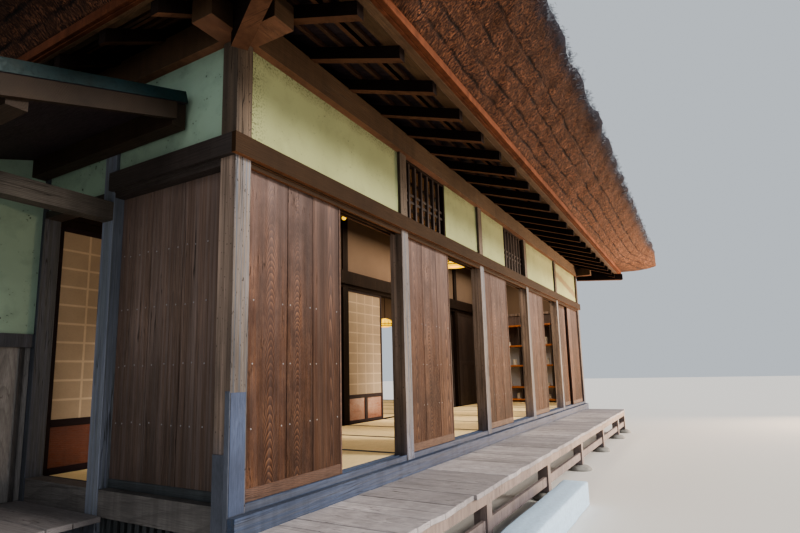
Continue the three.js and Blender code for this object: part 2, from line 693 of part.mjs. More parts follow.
// Veranda
const LEG_X = [0, 1590, 3210, 4810, 6410, 8010];
const DECK_END = 8985;
const DECK_OUT = 726;
const LEG = 95;
const LEG_OUT = 712;
const STONE_TOP = 62;
function verandaDeck() {
  return box(0, DECK_END, -DECK_OUT, -SILL_BOARD - GAP, DECK_TOP - DECK_THICK, DECK_TOP);
}

function verandaFrame() {
  const top = DECK_TOP - DECK_THICK;
  const legs = [...LEG_X, DECK_END - LEG];
  const pieces = [box(0, DECK_END, -LEG_OUT, -LEG_OUT + 70, top - 75, top)];
  pieces.push(box(0, DECK_END, -70, -25, top - 75, top));
  for (const x of legs) {
    pieces.push(box(x, x + LEG, -LEG_OUT, -LEG_OUT + LEG, STONE_TOP, top));
    pieces.push(box(x + 10, x + LEG - 10, -LEG_OUT + LEG - 1, -26, top - 70, top));
  }
  pieces.push(box(LEG, DECK_END - LEG, -LEG_OUT + 15, -LEG_OUT + 42, 120, 200));
  return join(pieces);
}

// Rounded stones under the legs, on the thin bed that carries them
function verandaStones() {
  const legs = [...LEG_X, DECK_END - LEG];
  const profile = [[0, 0], [135, 0], [150, 22], [118, 52], [80, STONE_TOP], [0, STONE_TOP]];
  const stones = legs.map((x, i) => {
    const geometry = new THREE.LatheGeometry(profile.map(([r, h]) => new THREE.Vector2(r, h)), 12);
    geometry.rotateX(Math.PI / 2);
    geometry.rotateZ(i * 0.7);
    geometry.translate(x + LEG / 2, -LEG_OUT + LEG / 2, 0);
    return toSolid(geometry);
  });
  const bed = box(LEG / 2, DECK_END - LEG / 2, -LEG_OUT, -LEG_OUT + LEG, 0, 12);
  return join([bed, ...stones]);
}

// Lean-to roof heights over a place x, which is negative on this side
const roofTop = (x) => ROOF_AT_WALL + ROOF_SLOPE * x;
const slopeBand = (x0, x1, high, low) => [[x0, roofTop(x0) - low], [x1, roofTop(x1) - low],
  [x1, roofTop(x1) - high], [x0, roofTop(x0) - high]];
const PURLIN_X = [[-90, 0], [-905, -815]];
const purlinLow = (x) => roofTop((x[0] + x[1]) / 2) - ROOF_THICK - PURLIN_DEEP;

function leanToRoof() {
  return prism(slopeBand(ROOF_EDGE_X, -1, 0, ROOF_THICK), 'y', VERGE_FRONT, VERGE_BACK);
}

function leanToFrame() {
  const low = ROOF_THICK + GAP;
  const pieces = PURLIN_X.map(([x0, x1]) => {
    const z = purlinLow([x0, x1]);
    const shape = [[x0, z], [x1, z], [x1, roofTop(x1) - low], [x0, roofTop(x0) - low]];
    return prism(shape, 'y', VERGE_FRONT + 34, VERGE_BACK - 34);
  });
  for (const y of [VERGE_FRONT + 5, VERGE_BACK - 35]) {
    pieces.push(prism(slopeBand(ROOF_EDGE_X + 10, -80, low, low + 100), 'y', y, y + 30));
  }
  pieces.push(prism(slopeBand(ROOF_EDGE_X + 10, ROOF_EDGE_X + 40, low, low + 90), 'y', VERGE_FRONT + 5, VERGE_BACK - 5));
  return join(pieces);
}

// Posts, ground beams and rails of the lean-to
const WING_X = [WING_POST_X, WING_POST_X + POST];
const WING_FLOOR = [377, 412];
const WING_TIE_PLACES = { dado: [700, 730], plaster: [1700, 1740] };
const WING_TIE_X = [WING_X[0] + 48, WING_X[0] + 64];
function wingTies(z0, z1, gap) {
  const ends = [SIDE_POST_DOOR, WING_BACK];
  return [
    box(WING_TIE_X[0] - gap, WING_TIE_X[1] + gap, ends[0] + 48 - gap, ends[1] + 64 + gap, z0 - gap, z1 + gap),
    ...ends.map((y) => box(WING_TIE_X[0] - gap, WING_X[1] + 2, y + 48 - gap, y + 64 + gap, z0 - gap, z1 + gap)),
  ];
}

function wingFrame() {
  const top = purlinLow(PURLIN_X[1]);
  const ys = [SIDE_POST_NEAR, SIDE_POST_DOOR, SIDE_POSTS[1], SIDE_POSTS[2]];
  const pieces = ys.map((y) => box(...WING_X, y, y + POST, KERB_TOP, top));
  pieces.push(box(...WING_X, SIDE_POST_NEAR, WING_BACK + POST, KERB_TOP, GROUND_BEAM_TOP));
  const across = (y, z0, z1, inset = 0) => box(WING_X[1] - 1, 0, y + inset, y + POST - inset, z0, z1);
  pieces.push(across(SIDE_POST_NEAR, KERB_TOP, GROUND_BEAM_TOP));
  pieces.push(across(WING_BACK, KERB_TOP, GROUND_BEAM_TOP));
  for (const y of [SIDE_POST_NEAR, SIDE_POST_DOOR, WING_BACK]) {
    pieces.push(across(y, WING_FLOOR[0] - 80, WING_FLOOR[0], 10));
  }
  for (const y of [SIDE_POST_DOOR, WING_BACK]) {
    pieces.push(across(y, DADO_TOP, DADO_RAIL_TOP, 10));
  }
  const beam = (y0, z0, z1) => box(WING_X[0] + 10, WING_X[1], y0, WING_BACK + POST, z0, z1);
  pieces.push(beam(SIDE_POST_NEAR, WING_FLOOR[0] - 80, WING_FLOOR[1]));
  pieces.push(beam(SIDE_POST_DOOR, DADO_TOP, DADO_RAIL_TOP));
  pieces.push(beam(SIDE_POST_DOOR, top - 90, top));
  const ties = Object.values(WING_TIE_PLACES).flatMap(([z0, z1]) => wingTies(z0, z1, GAP));
  return cut(join(pieces), ties);
}

// Walls of the lean-to between its posts, held together like the ones of the house
function wingWalls(inset, z0, endTop, sideTop, tie) {
  const pieces = [SIDE_POST_DOOR, WING_BACK].map((y) => {
    const points = [[WING_X[1], z0], [-GAP, z0], [-GAP, endTop(-GAP)], [WING_X[1], endTop(WING_X[1])]];
    return prism(points, 'y', y + inset, y + POST - inset);
  });
  for (const [y0, y1] of [[SIDE_POST_DOOR + POST, SIDE_POSTS[1]], [SIDE_POSTS[1] + POST, WING_BACK]]) {
    pieces.push(box(WING_X[0] + inset, WING_X[1] - inset, y0, y1, z0, sideTop));
  }
  return join([...pieces, ...wingTies(...tie, 0)]);
}

function wingPlaster() {
  const under = (x) => roofTop(x) - ROOF_THICK - 2;
  const walls = wingWalls(27, DADO_RAIL_TOP, under, purlinLow(PURLIN_X[1]) - 90, WING_TIE_PLACES.plaster);
  const purlins = PURLIN_X.map((x) => box(x[0] - 2, x[1] + 2, SIDE_POST_NEAR, VERGE_BACK, purlinLow(x) - 1, ROOF_AT_WALL));
  return cut(walls, purlins);
}

const wingDado = () => wingWalls(45, WING_FLOOR[1], () => DADO_TOP, DADO_TOP, WING_TIE_PLACES.dado);

// Plank floor of the porch and the lean-to
function porchFloor() {
  return box(WING_X[1], -2, SIDE_POST_NEAR - 60, WING_BACK + POST, ...WING_FLOOR);
}

function porchBeam() {
  return box(WING_X[1], 0, SIDE_POST_NEAR, SIDE_POST_NEAR + 95, 2160, 2278);
}

function pendantLamp(x, y, z, radius, height) {
  const profile = [[0, 0], [radius * 0.6, 0], [radius, height * 0.35], [radius, height * 0.45], [radius * 0.35, height],
    [8, height], [8, CEILING - z], [0, CEILING - z]];
  const geometry = new THREE.LatheGeometry(profile.map(([r, h]) => new THREE.Vector2(r, h)), 24);
  geometry.rotateX(Math.PI / 2);
  geometry.translate(x, y, z);
  return toSolid(geometry);
}

// Display shelf at the right end of the front room
const SHELF_Z = [575, 820, 1245, 1645, 2055];
function displayShelf() {
  const x = [8770, WIDTH - POST];
  const y = [480, 1780];
  const pieces = SHELF_Z.map((z) => box(...x, ...y, z, z + 35));
  for (const place of [y[0], (y[0] + y[1]) / 2 - 15, y[1] - 30]) {
    pieces.push(box(...x, place, place + 30, FLOOR_TOP, SHELF_Z[4] + 35));
  }
  return join(pieces);
}

add('foundation_kerb', foundationKerb(), stone);
add('front_posts', frontPosts(), wood.post);
add('left_posts', leftPosts(), wood.post);
add('right_frame', plainFrame('right', SIDE_POSTS, SIDE_SPANS, POST, DEPTH - POST), wood.post);
add('back_frame', plainFrame('back', GRID, BAY_SPANS, 0, WIDTH), wood.post);
add('front_sill', frontSill(), wood.sill);
add('left_sill', leftSill(), wood.sill);
add('front_lintel', frontLintel(), wood.rail);
add('left_lintel', leftLintel(), wood.rail);
add('front_plaster', frontPlaster(), plaster);
add('left_plaster', sidePlaster('left', LEFT_SPANS), plaster);
add('right_plaster', sidePlaster('right', SIDE_SPANS), plaster);
add('back_plaster', sidePlaster('back', BAY_SPANS), plaster);
add('front_window_1', windowFrame(WINDOW_1), wood.door);
add('front_window_2', windowFrame(WINDOW_2), wood.door);
add('left_boards', boardsOn('left', [LEFT_SPANS[0]]), wood.board);
add('left_inner_wall', boardsOn('left', SIDE_SPANS.slice(1)), plaster);
add('right_boards_near', boardsOn('right', [SIDE_SPANS[0], SIDE_SPANS[1],
  [SIDE_SPANS[2][0], RIGHT_OPENING[0]]]), wood.board);
add('right_boards_far', boardsOn('right', [SIDE_SPANS[3]]), wood.board);
add('back_boards', boardsOn('back', BAY_SPANS), wood.board);
for (let i = 0; i < 4; i += 1) {
  add(`shutter_${i + 1}`, shutter(i * BAY + POST + RUNNING, TRACK_FRONT), wood.board);
}
add('shutter_5', shutter(5 * BAY - RUNNING - SHUTTER_WIDTH, TRACK_FRONT), wood.board);
add('shutter_6', shutter(INNER_LEAF_X, TRACK_BACK), wood.board);
add('floor', floor(), tatami);
add('partition_frame', partitionFrame(), wood.door);
add('partition_plaster', partitionPlaster(), plaster);
add('shoji_1', leaf(bayLeft(0), 0), paper);
add('shoji_2', leaf(bayLeft(2), 0), paper);
add('board_door', leaf(bayLeft(4), 0), wood.door);
fixedLeaves().forEach((solid, i) => add(`fixed_leaf_${i + 1}`, solid, i < 3 ? paper : wood.door));
add('ceiling', box(RAFTER_INNER, WIDTH - RAFTER_INNER, RAFTER_INNER, DEPTH - RAFTER_INNER, CEILING, CEILING + 20), ceilingWood);
add('pendant_lamp_1', pendantLamp(5150, 950, 2690, 220, 150), lampPaper);
add('pendant_lamp_2', pendantLamp(7600, 3600, 2130, 160, 180), lampPaper);
add('display_shelf', displayShelf(), wood.shelf);
add('wall_plates', wallPlates(), wood.plate);
add('eave_rafters', eaveRafters(plateSpace()), wood.rafter);
add('eave_soffit', eaveSoffit(), wood.soffit);
add('eave_fascia', eaveFascia(), wood.fascia);
add('thatch_roof', thatchRoof(), thatch);
add('ridge_cap', ridgeCap(), bark);
add('veranda_deck', verandaDeck(), wood.deck);
add('veranda_frame', verandaFrame(), wood.frame);
add('veranda_stones', verandaStones(), stone);
add('step_stone', box(1360, 3160, -1077, -850, 0, 205), granite);
add('wing_frame', wingFrame(), wood.dado);
add('wing_plaster', wingPlaster(), plaster);
add('wing_dado', wingDado(), wood.dado);
add('lean_to_roof', leanToRoof(), copper);
add('lean_to_frame', leanToFrame(), wood.beam);
add('porch_floor', porchFloor(), wood.deck);
add('porch_beam', porchBeam(), wood.beam);

// Centre of the footprint: the lean-to's eave on the left, the thatch on the other sides
const CENTRE_X = (ROOF_EDGE_X + WIDTH + THATCH_EDGE_SIDE) / 2;
house.position.set(-CENTRE_X, -DEPTH / 2, 0);
const part = new THREE.Group();
part.add(house);

export default part;
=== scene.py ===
"""Dresses the thatched farmhouse: timber, boards, screens, mats, plaster, copper and reed."""

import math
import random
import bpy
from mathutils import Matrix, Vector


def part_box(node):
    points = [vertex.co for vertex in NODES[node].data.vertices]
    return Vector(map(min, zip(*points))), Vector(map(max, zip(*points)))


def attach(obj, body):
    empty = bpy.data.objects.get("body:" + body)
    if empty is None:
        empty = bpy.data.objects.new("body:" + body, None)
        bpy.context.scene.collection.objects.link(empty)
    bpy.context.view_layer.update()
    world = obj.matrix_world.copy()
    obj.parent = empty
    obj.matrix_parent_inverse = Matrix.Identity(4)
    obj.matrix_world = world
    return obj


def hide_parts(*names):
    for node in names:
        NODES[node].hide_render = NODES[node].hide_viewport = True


bl_info = {
    "name": "Thatched Farmhouse",
    "version": (1, 0, 0),
    "blender": (4, 5, 0),
    "location": "View3D > Sidebar > Farmhouse",
    "description": "Finishes and fine pieces of a timber farmhouse with a thick reed roof",
    "category": "Add Mesh",
}

import bmesh
import bpy
from bpy.props import FloatProperty, FloatVectorProperty, IntProperty, PointerProperty
from mathutils import Matrix, Vector, noise

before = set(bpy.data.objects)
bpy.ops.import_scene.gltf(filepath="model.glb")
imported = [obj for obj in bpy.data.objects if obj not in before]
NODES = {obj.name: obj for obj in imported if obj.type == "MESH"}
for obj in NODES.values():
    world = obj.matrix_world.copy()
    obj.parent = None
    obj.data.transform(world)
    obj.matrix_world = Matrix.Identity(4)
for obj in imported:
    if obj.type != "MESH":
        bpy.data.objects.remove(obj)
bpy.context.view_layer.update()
POSTS_LOW, POSTS_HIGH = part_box("front_posts")

# House frame: metres from the front left corner post, X along the front and Y into the house
ORIGIN = Vector((POSTS_LOW[0], POSTS_LOW[1], 0))
WIDTH = POSTS_HIGH[0] - POSTS_LOW[0]
POST = POSTS_HIGH[1] - POSTS_LOW[1]
BAYS = 5
BAY = (WIDTH - POST) / BAYS


def node_box(name):
    """Lowest and highest corner of a CAD node in the house frame."""
    low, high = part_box(name)
    return Vector(low) - ORIGIN, Vector(high) - ORIGIN


DEPTH = node_box("left_posts")[1].y + POST
PLATE_TOP = 3.21
EAVE_FRONT = 0.69
EAVE_SIDE = 0.4
SIDE_SHARE = EAVE_SIDE / EAVE_FRONT
TIP_BOTTOM = 2.98
RAFTER_HEIGHT = 0.08
HEAD_TOP = 2.358
DOOR_POST_Y = 1.87
SIDE_POSTS = [DOOR_POST_Y + BAY * i for i in range(3)]
LAYERS = [0.10, 0.23, 0.40, 0.58]


# Settings shown in the panel

def metres(name, value, description):
    """A length setting."""
    return FloatProperty(name=name, description=description, default=value, unit="LENGTH")


def amount(name, value, description, least):
    """A setting that counts."""
    return IntProperty(name=name, description=description, default=value, min=least)


def colour(name, value, description):
    """A colour setting."""
    return FloatVectorProperty(name=name, description=description, default=value, subtype="COLOR",
                               size=3, min=0, max=1)


class FarmhouseSizes(bpy.types.PropertyGroup):
    """Sizes of the fine pieces."""
    board_gap: metres("Board gap", 0.004, "Space between boards")
    edge_round: metres("Edge rounding", 0.003, "Wear on timber edges")
    nail_head: metres("Nail head", 0.010, "Width of a nail head")
    bar_width: metres("Window bar", 0.032, "Width of a window bar")
    bar_count: amount("Window bars", 6, "Bars in a window", 2)
    reed_length: metres("Reed ends", 0.055, "How far loose reeds stand out")
    tuft_count: amount("Reed tufts", 4300, "Tufts of loose reed along the eaves", 10)


class FarmhouseColours(bpy.types.PropertyGroup):
    """Colours of the finishes."""
    board_light: colour("Board", (0.056, 0.025, 0.017), "Wide early wood of the shutters")
    board_line: colour("Board, raised grain", (0.38, 0.195, 0.105),
                       "Narrow late wood of the shutters")
    board_dark: colour("Board, dark fibres", (0.028, 0.011, 0.008),
                       "Fibres and stains of the shutters")
    board_grey: colour("Board, weathered", (0.155, 0.118, 0.112),
                       "Greyed wood at the boards' heads")
    side_board: colour("Side boards", (0.150, 0.098, 0.076), "Boards of the shaded left wall")
    post: colour("Posts", (0.25, 0.205, 0.178), "Planed posts")
    side_post: colour("Side posts", (0.21, 0.235, 0.31), "Posts of the shaded left wall")
    blue_grey: colour("Sills and grafts", (0.062, 0.088, 0.155), "Newer timber gone blue grey")
    rail: colour("Head rails", (0.040, 0.021, 0.010), "Oiled head rails")
    deck: colour("Deck", (0.46, 0.425, 0.435), "Bleached deck boards")
    rafter: colour("Rafters", (0.020, 0.013, 0.011), "Smoked rafters")
    # Painted light: the rafters' downward faces, made paler and warmer as if lit from the ground
    rafter_lit_underside: colour("Rafter undersides", (0.15, 0.075, 0.045),
                         "Undersides of the rafters, painted as lit from the ground")
    eave_board: colour("Eave boards", (0.17, 0.095, 0.052),
                       "Yellow brown boards under the rafter tips")
    fascia: colour("Eave edge", (0.20, 0.072, 0.037), "Red brown edge member")
    # Plaster: a pale lime colour made yellow green, partly as painted light, the green light under
    # trees
    plaster: colour("Plaster", (0.33, 0.355, 0.19), "Pale yellow green lime plaster")
    inner_plaster: colour("Inner plaster", (0.155, 0.108, 0.077), "Tan earth plaster")
    reed: colour("Reed", (0.215, 0.090, 0.046), "Orange brown cut reed")
    reed_dark: colour("Reed, dark", (0.024, 0.011, 0.010), "Gaps and layers in the reed")
    paper: colour("Paper", (0.325, 0.252, 0.178), "Screen paper")
    mat: colour("Mats", (0.93, 0.72, 0.38), "Rush mats")
    copper: colour("Copper", (0.008, 0.029, 0.034), "Weathered sheet copper")
    stone: colour("Stone", (0.34, 0.33, 0.31), "Kerb and footing stones")
    granite: colour("Granite", (0.53, 0.69, 0.86), "Step stone")
    shelf: colour("Shelf", (0.50, 0.17, 0.05), "Orange shelf boards")


# Node helpers

def add_node(tree, kind, inputs=(), output=0, **settings):
    """Adds a shader node; its inputs are numbers, vectors or values that other nodes give."""
    node = tree.nodes.new("ShaderNode" + kind)
    for name, setting in settings.items():
        setattr(node, name, setting)
    for key, value in inputs.items() if isinstance(inputs, dict) else enumerate(inputs):
        feed(value, node.inputs[key])
    return Value(node.outputs[output])


def feed(value, slot):
    """Links or writes a value into an input."""
    if isinstance(value, Value):
        value.tree.links.new(value.socket, slot)
    else:
        slot.default_value = value


class Value:
    """What a node gives, to reckon with."""

    def __init__(self, socket):
        self.socket = socket
        self.tree = socket.id_data

    def math(self, operation, *others):
        """A Math node on this value."""
        return add_node(self.tree, "Math", (self, *others), operation=operation)

    def __add__(self, other):
        return self.math("ADD", other)

    def __sub__(self, other):
        return self.math("SUBTRACT", other)

    def __mul__(self, other):
        return self.math("MULTIPLY", other)

    def __truediv__(self, other):
        return self.math("DIVIDE", other)

    def __abs__(self):
        return self.math("ABSOLUTE")

    def part(self, axis):
        """One component of a vector."""
        return add_node(self.tree, "SeparateXYZ", (self,), "XYZ".index(axis))

    def ranged(self, low, high, to_low=0.0, to_high=1.0, ease="LINEAR"):
        """The value mapped from one range to another, clamped."""
        return add_node(self.tree, "MapRange", (self, low, high, to_low, to_high),
                        interpolation_type=ease)

    def noise(self, scale, detail=3.0, roughness=0.55, distortion=0.0):
        """Noise at these coordinates, whose scale is a number or one for each axis."""
        place = self
        if isinstance(scale, tuple):
            place = add_node(self.tree, "Mapping", {"Vector": self, "Scale": scale})
            scale = 1.0
        return add_node(self.tree, "TexNoise", {
            "Vector": place, "Scale": scale, "Detail": detail, "Roughness": roughness,
            "Distortion": distortion})


def mix(factor, a, b, way="MIX"):
    """Two colours mixed."""
    tree = next(value.tree for value in (factor, a, b) if isinstance(value, Value))
    a, b = (value if isinstance(value, Value) else (*value[:3], 1) for value in (a, b))
    return add_node(tree, "Mix", {0: factor, 6: a, 7: b}, 2, data_type="RGBA", blend_type=way)


def shade(tint, value):
    """A colour multiplied by a value."""
    grey = add_node(value.tree, "CombineColor", (value, value, value))
    return mix(1.0, tint, grey, "MULTIPLY")


def dim(tint, share):
    """A colour made darker, or paler where the share is over 1."""
    return Vector(tint) * share


def new_group(name, numbers, outputs):
    """An empty node group, the values that it is given and its output node's inputs."""
    tree = bpy.data.node_groups.new(name, "ShaderNodeTree")
    tree.interface.new_socket(name="Vector", in_out="INPUT", socket_type="NodeSocketVector")
    for label, number in numbers.items():
        made = tree.interface.new_socket(name=label, in_out="INPUT", socket_type="NodeSocketFloat")
        made.default_value = number
    for label in outputs:
        tree.interface.new_socket(name=label, in_out="OUTPUT", socket_type="NodeSocketFloat")
    entry = tree.nodes.new("NodeGroupInput")
    given = {socket.name: Value(socket) for socket in entry.outputs}
    return tree, given, tree.nodes.new("NodeGroupOutput").inputs


def timber_group():
    """Growth rings cut by a board, fibres, blotches, cracks and pits. Z runs along the grain."""
    outputs = ("Ring", "Fibre", "Blotch", "Streak", "Band", "Check", "Pit", "Height")
    numbers = {"Ring": 0.009, "Taper": 0.02, "Wobble": 0.012, "Sharpness": 2.6}
    tree, given, leave = new_group("Timber figure", numbers, outputs)
    place = given["Vector"]
    across, deep, along = (place.part(axis) for axis in "XYZ")
    bend = place.noise((18, 18, 2.25), 2.0) * 0.32 + place.noise((4.8, 4.8, 1.12), 2.0)
    reach = (across * across + deep * deep).math("SQRT")
    reach = reach + along * given["Taper"] + bend * given["Wobble"]
    turns = (reach / given["Ring"]).math("FRACT")
    fibre = place.noise((420, 420, 6), 3.0, 0.7)
    blotch = place.noise((5, 5, 1.2), 4.0, 0.6)
    streak = place.noise((60, 60, 0.6), 4.0, 0.7)
    band = place.noise((21, 21, 0.3), 2.0, 0.5)
    late = turns.math("POWER", given["Sharpness"]) * turns.ranged(0.93, 1.0, 1.0, 0.0)
    ring = late * blotch.ranged(0.36, 0.62, 0.3, 1.0)
    crack = abs(place.noise((34, 34, 1.1), 2.0, 0.5) - 0.52).ranged(0.0, 0.016, 1.0, 0.0)
    crack = crack * blotch.ranged(0.48, 0.6)
    pit = place.noise((105, 105, 70), 0.0, 0.5).ranged(0.765, 0.80)
    height = ring * 0.45 + fibre * 0.35 - crack
    for label, value in zip(outputs, (ring, fibre, blotch, streak, band, crack, pit, height)):
        feed(value, leave[label])
    return tree


def grime_group():
    """Soft stains, grey weathering towards the top and splash dirt near the ground."""
    numbers = {"Grey Low": 1.9, "Grey High": 2.4, "Ground": 0.5}
    tree, given, leave = new_group("Weathering", numbers, ("Grey", "Stain", "Splash"))
    place = given["Vector"]
    height = place.part("Z")
    cloud = place.noise((1.95, 1.95, 1.04), 4.0, 0.6)
    streak = place.noise((16, 16, 0.9), 3.0, 0.6)
    grey = (height - given["Grey Low"]) / (given["Grey High"] - given["Grey Low"])
    feed((grey + (streak - 0.5) * 1.2).ranged(0.0, 1.0), leave["Grey"])
    feed((cloud * streak).ranged(0.2, 0.38), leave["Stain"])
    splash = given["Ground"] - height + (cloud - 0.5) * 0.5
    feed(splash.ranged(0.0, 0.4), leave["Splash"])
    return tree


def use_group(group, inputs):
    """Places a node group in a material and returns what it gives, by name."""
    made = add_node(inputs["Vector"].tree, "Group", inputs, node_tree=group)
    return {output.name: Value(output) for output in made.socket.node.outputs}


class Finish:
    """A new material with its shader's inputs and Object coordinates."""

    def __init__(self, name, roughness=0.8, metallic=0.0, shine=0.3):
        self.material = bpy.data.materials.new(name)
        self.material.use_nodes = True
        self.tree = self.material.node_tree
        self.inputs = self.tree.nodes["Principled BSDF"].inputs
        self.place = add_node(self.tree, "TexCoord", output="Object")
        feed(roughness, self.inputs["Roughness"])
        feed(metallic, self.inputs["Metallic"])
        feed(shine, self.inputs["Specular IOR Level"])

    def attribute(self, name, output="Fac"):
        """A piece's own attribute."""
        return add_node(self.tree, "Attribute", output=output, attribute_name=name)

    def close(self, tint, height=None, distance=0.0, roughness=None):
        """Connects the colour, the bumps and the roughness."""
        feed(tint, self.inputs["Base Color"])
        if roughness:
            feed(roughness, self.inputs["Roughness"])
        if height:
            feed(add_node(self.tree, "Bump",
                          {"Height": height, "Distance": distance, "Strength": 1.0}),
                 self.inputs["Normal"])
        return self.material


def normal_at(place):
    """The surface's direction."""
    return add_node(place.tree, "TexCoord", output="Normal")


def facing_in(place):
    """1 on faces that look towards the middle of the house, 0 on the others."""
    middle = (ORIGIN.x + WIDTH / 2, ORIGIN.y + DEPTH / 2, 1.5)
    away = add_node(place.tree, "VectorMath", (place, middle), "Vector", operation="SUBTRACT")
    dot = add_node(place.tree, "VectorMath", (away, normal_at(place)), "Value",
                   operation="DOT_PRODUCT")
    return dot.ranged(-0.05, -0.15)


def painted_eave_shade(place, low):
    """Painted shade: a darkening of the eave over the lean-to, where it lies in shade."""
    return place.part("X").ranged(ORIGIN.x - 0.75, ORIGIN.x - 0.30, low, 1.0, "SMOOTHSTEP")


# Finishes

GROUPS = {}
TURNS = {"z": (0, 0, 0), "x": (0, math.pi / 2, 0), "y": (math.pi / 2, 0, 0)}
HEART = (0.31, 0.17, 0.0)


def wood(name, light, dark, along=None, ring=0.009, figure=0.8, taper=0.02, wobble=0.012,
         sharp=2.6, line=None, rough=0.62, shine=0.3, depth=0.0012, checks=0.6, stain=0.35,
         pits=0.0, band=0.0, vary=(0.78, 1.2), grey=None, weathered=(9.0, 9.5), ground=-9.0,
         streak=None, side_face_light=None, high=None, under=None, shade_below=None, eave_shade=None, deep=None):
    """Timber. Boards carry their own grain attribute; a CAD timber takes its grain along one axis.

    The dark wood is a colour, or a share of the light one. Some options paint light and shade into
    the colour: light on the faces along X and on the faces that look down, and shade towards the
    bottom, over the lean-to and further in under it.
    """
    finish = Finish(name, rough, shine=shine)
    place = finish.place
    if isinstance(dark, float):
        dark = dim(light, dark)
    if along:
        vector = add_node(finish.tree, "Mapping",
                          {"Vector": place, "Location": HEART, "Rotation": TURNS[along]})
        tone = place.noise(1.8, 1.0)
    else:
        vector = finish.attribute("grain", "Vector")
        tone = finish.attribute("tone")
    timber = use_group(GROUPS["timber"], {"Vector": vector, "Ring": ring, "Taper": taper,
                                          "Wobble": wobble, "Sharpness": sharp})
    grime = use_group(GROUPS["grime"], {"Vector": place, "Grey Low": weathered[0],
                                        "Grey High": weathered[1], "Ground": ground})
    base = mix(timber["Ring"] * figure, light, dark if line is None else line)
    base = mix(timber["Fibre"].ranged(0.42, 0.68, 0.0, 0.65), base, dark)
    if streak:
        share, tint = streak
        base = mix(timber["Streak"].ranged(0.44, 0.60, 0.0, share), base, tint)
        base = mix(timber["Streak"].ranged(0.44, 0.34, 0.0, share * 0.7), base, dim(dark, 1.6))
    # Painted light: faces that look along X take a paler, warmer colour, as if lit from the side
    if side_face_light:
        beside = abs(normal_at(place).part("X")).ranged(0.7, 0.9, 0.0, 0.8)
        base = mix(beside, base, shade(side_face_light, timber["Streak"].ranged(0.38, 0.60, 0.55, 1.15)))
    if high:
        base = mix(place.part("Z").ranged(high[0], high[0] + 0.02), base, high[1])
    # Painted light: faces that look down take a paler, warmer colour, as if lit from the ground
    if under:
        base = mix(normal_at(place).part("Z").ranged(-0.6, -0.8), base, under)
    if grey:
        base = mix(grime["Grey"] * 0.85, base, grey)
        base = mix(grime["Splash"] * 0.5, base, grey)
    # Random tone of the wood, times the painted shade that the options below ask for
    lit = timber["Blotch"].ranged(0.3, 0.7, 0.72, 1.18) * tone.ranged(0.0, 1.0, *vary)
    if band:
        lit *= timber["Band"].ranged(0.34, 0.66, 1 - band, 1 + band)
    # Painted shade: darker towards the bottom
    if shade_below:
        lit *= place.part("Z").ranged(*shade_below, 1.0, "SMOOTHSTEP")
    # Painted shade on the eave over the lean-to
    if eave_shade:
        lit *= painted_eave_shade(place, eave_shade)
    # Painted shade: darker further in under the lean-to, along Y
    if deep:
        lit *= place.part("Y").ranged(ORIGIN.y + 1.3, ORIGIN.y + 1.8, 1.0, deep)
    base = shade(base, lit)
    base = mix(grime["Stain"] * stain, base, dim(dark, 0.6))
    base = mix(timber["Check"] * checks, base, (0.012, 0.008, 0.006))
    if pits:
        base = mix(timber["Pit"] * pits, base, (0.02, 0.014, 0.01))
    roughness = timber["Fibre"].ranged(0.3, 0.7, rough - 0.08, rough + 0.12)
    return finish.close(base, timber["Height"], depth, roughness)


def plaster(name, base, stain, speck=0.5, slant=False, shade_at_top=0.45):
    """Trowelled lime plaster with clouds, mould and, where asked, an old slanting stain."""
    finish = Finish(name, 0.93)
    place = finish.place
    patch = place.noise(6.5, 4.0, 0.6)
    tone = mix(place.noise(1.3, 4.0).ranged(0.35, 0.7), base, dim(base, 0.82))
    tone = mix(patch.ranged(0.5, 0.8, 0.0, 0.35), tone, stain)
    # Painted shade: darker in a band at the top, under the wall plate
    tone = mix((place.part("Z") + patch * 0.12).ranged(3.0, 3.11, 0.0, shade_at_top), tone,
               dim(stain, 0.5))
    dots = place.noise(42, 2.0, 0.5).ranged(0.66, 0.71) * patch.ranged(0.46, 0.62) * speck
    if slant:
        dots = dots.math("MAXIMUM", edge_mould(place, patch))
    tone = mix(dots, tone, dim(stain, 0.25))
    if slant:
        tone = mix(slanting_stain(place, patch), tone, (0.20, 0.14, 0.085))
    tone = mix(facing_in(place), tone, bpy.context.scene.farmhouse_colours.inner_plaster)
    trowel = place.noise((9, 9, 14), 2.0, 0.5, 0.6) * 0.6 + place.noise(260, 2.0, 0.6) * 0.25
    return finish.close(tone, trowel, 0.0015)


def edge_mould(place, patch):
    """Dark specks in the plaster beside each post and under the plate."""
    bay = ((place.part("X") - ORIGIN.x) / BAY).math("FRACT")
    beside = (bay * BAY - POST).ranged(0.0, 0.16, 1.0, 0.0)
    near = beside.math("MAXIMUM", place.part("Z").ranged(2.93, 3.02, 0.0, 0.8))
    shown = near * patch.ranged(0.32, 0.48)
    return shown * place.noise(75, 3.0, 0.6).ranged(0.51, 0.58, 0.0, 0.85)


def slanting_stain(place, patch):
    """A band that falls across the last bay."""
    along = place.part("X") - (ORIGIN.x + BAY * 4 + POST)
    away = abs(place.part("Z") - (along * -0.13 + 2.80 + patch * 0.10))
    return away.ranged(0.045, 0.075, 0.75, 0.0) * along.ranged(0.0, 0.02)


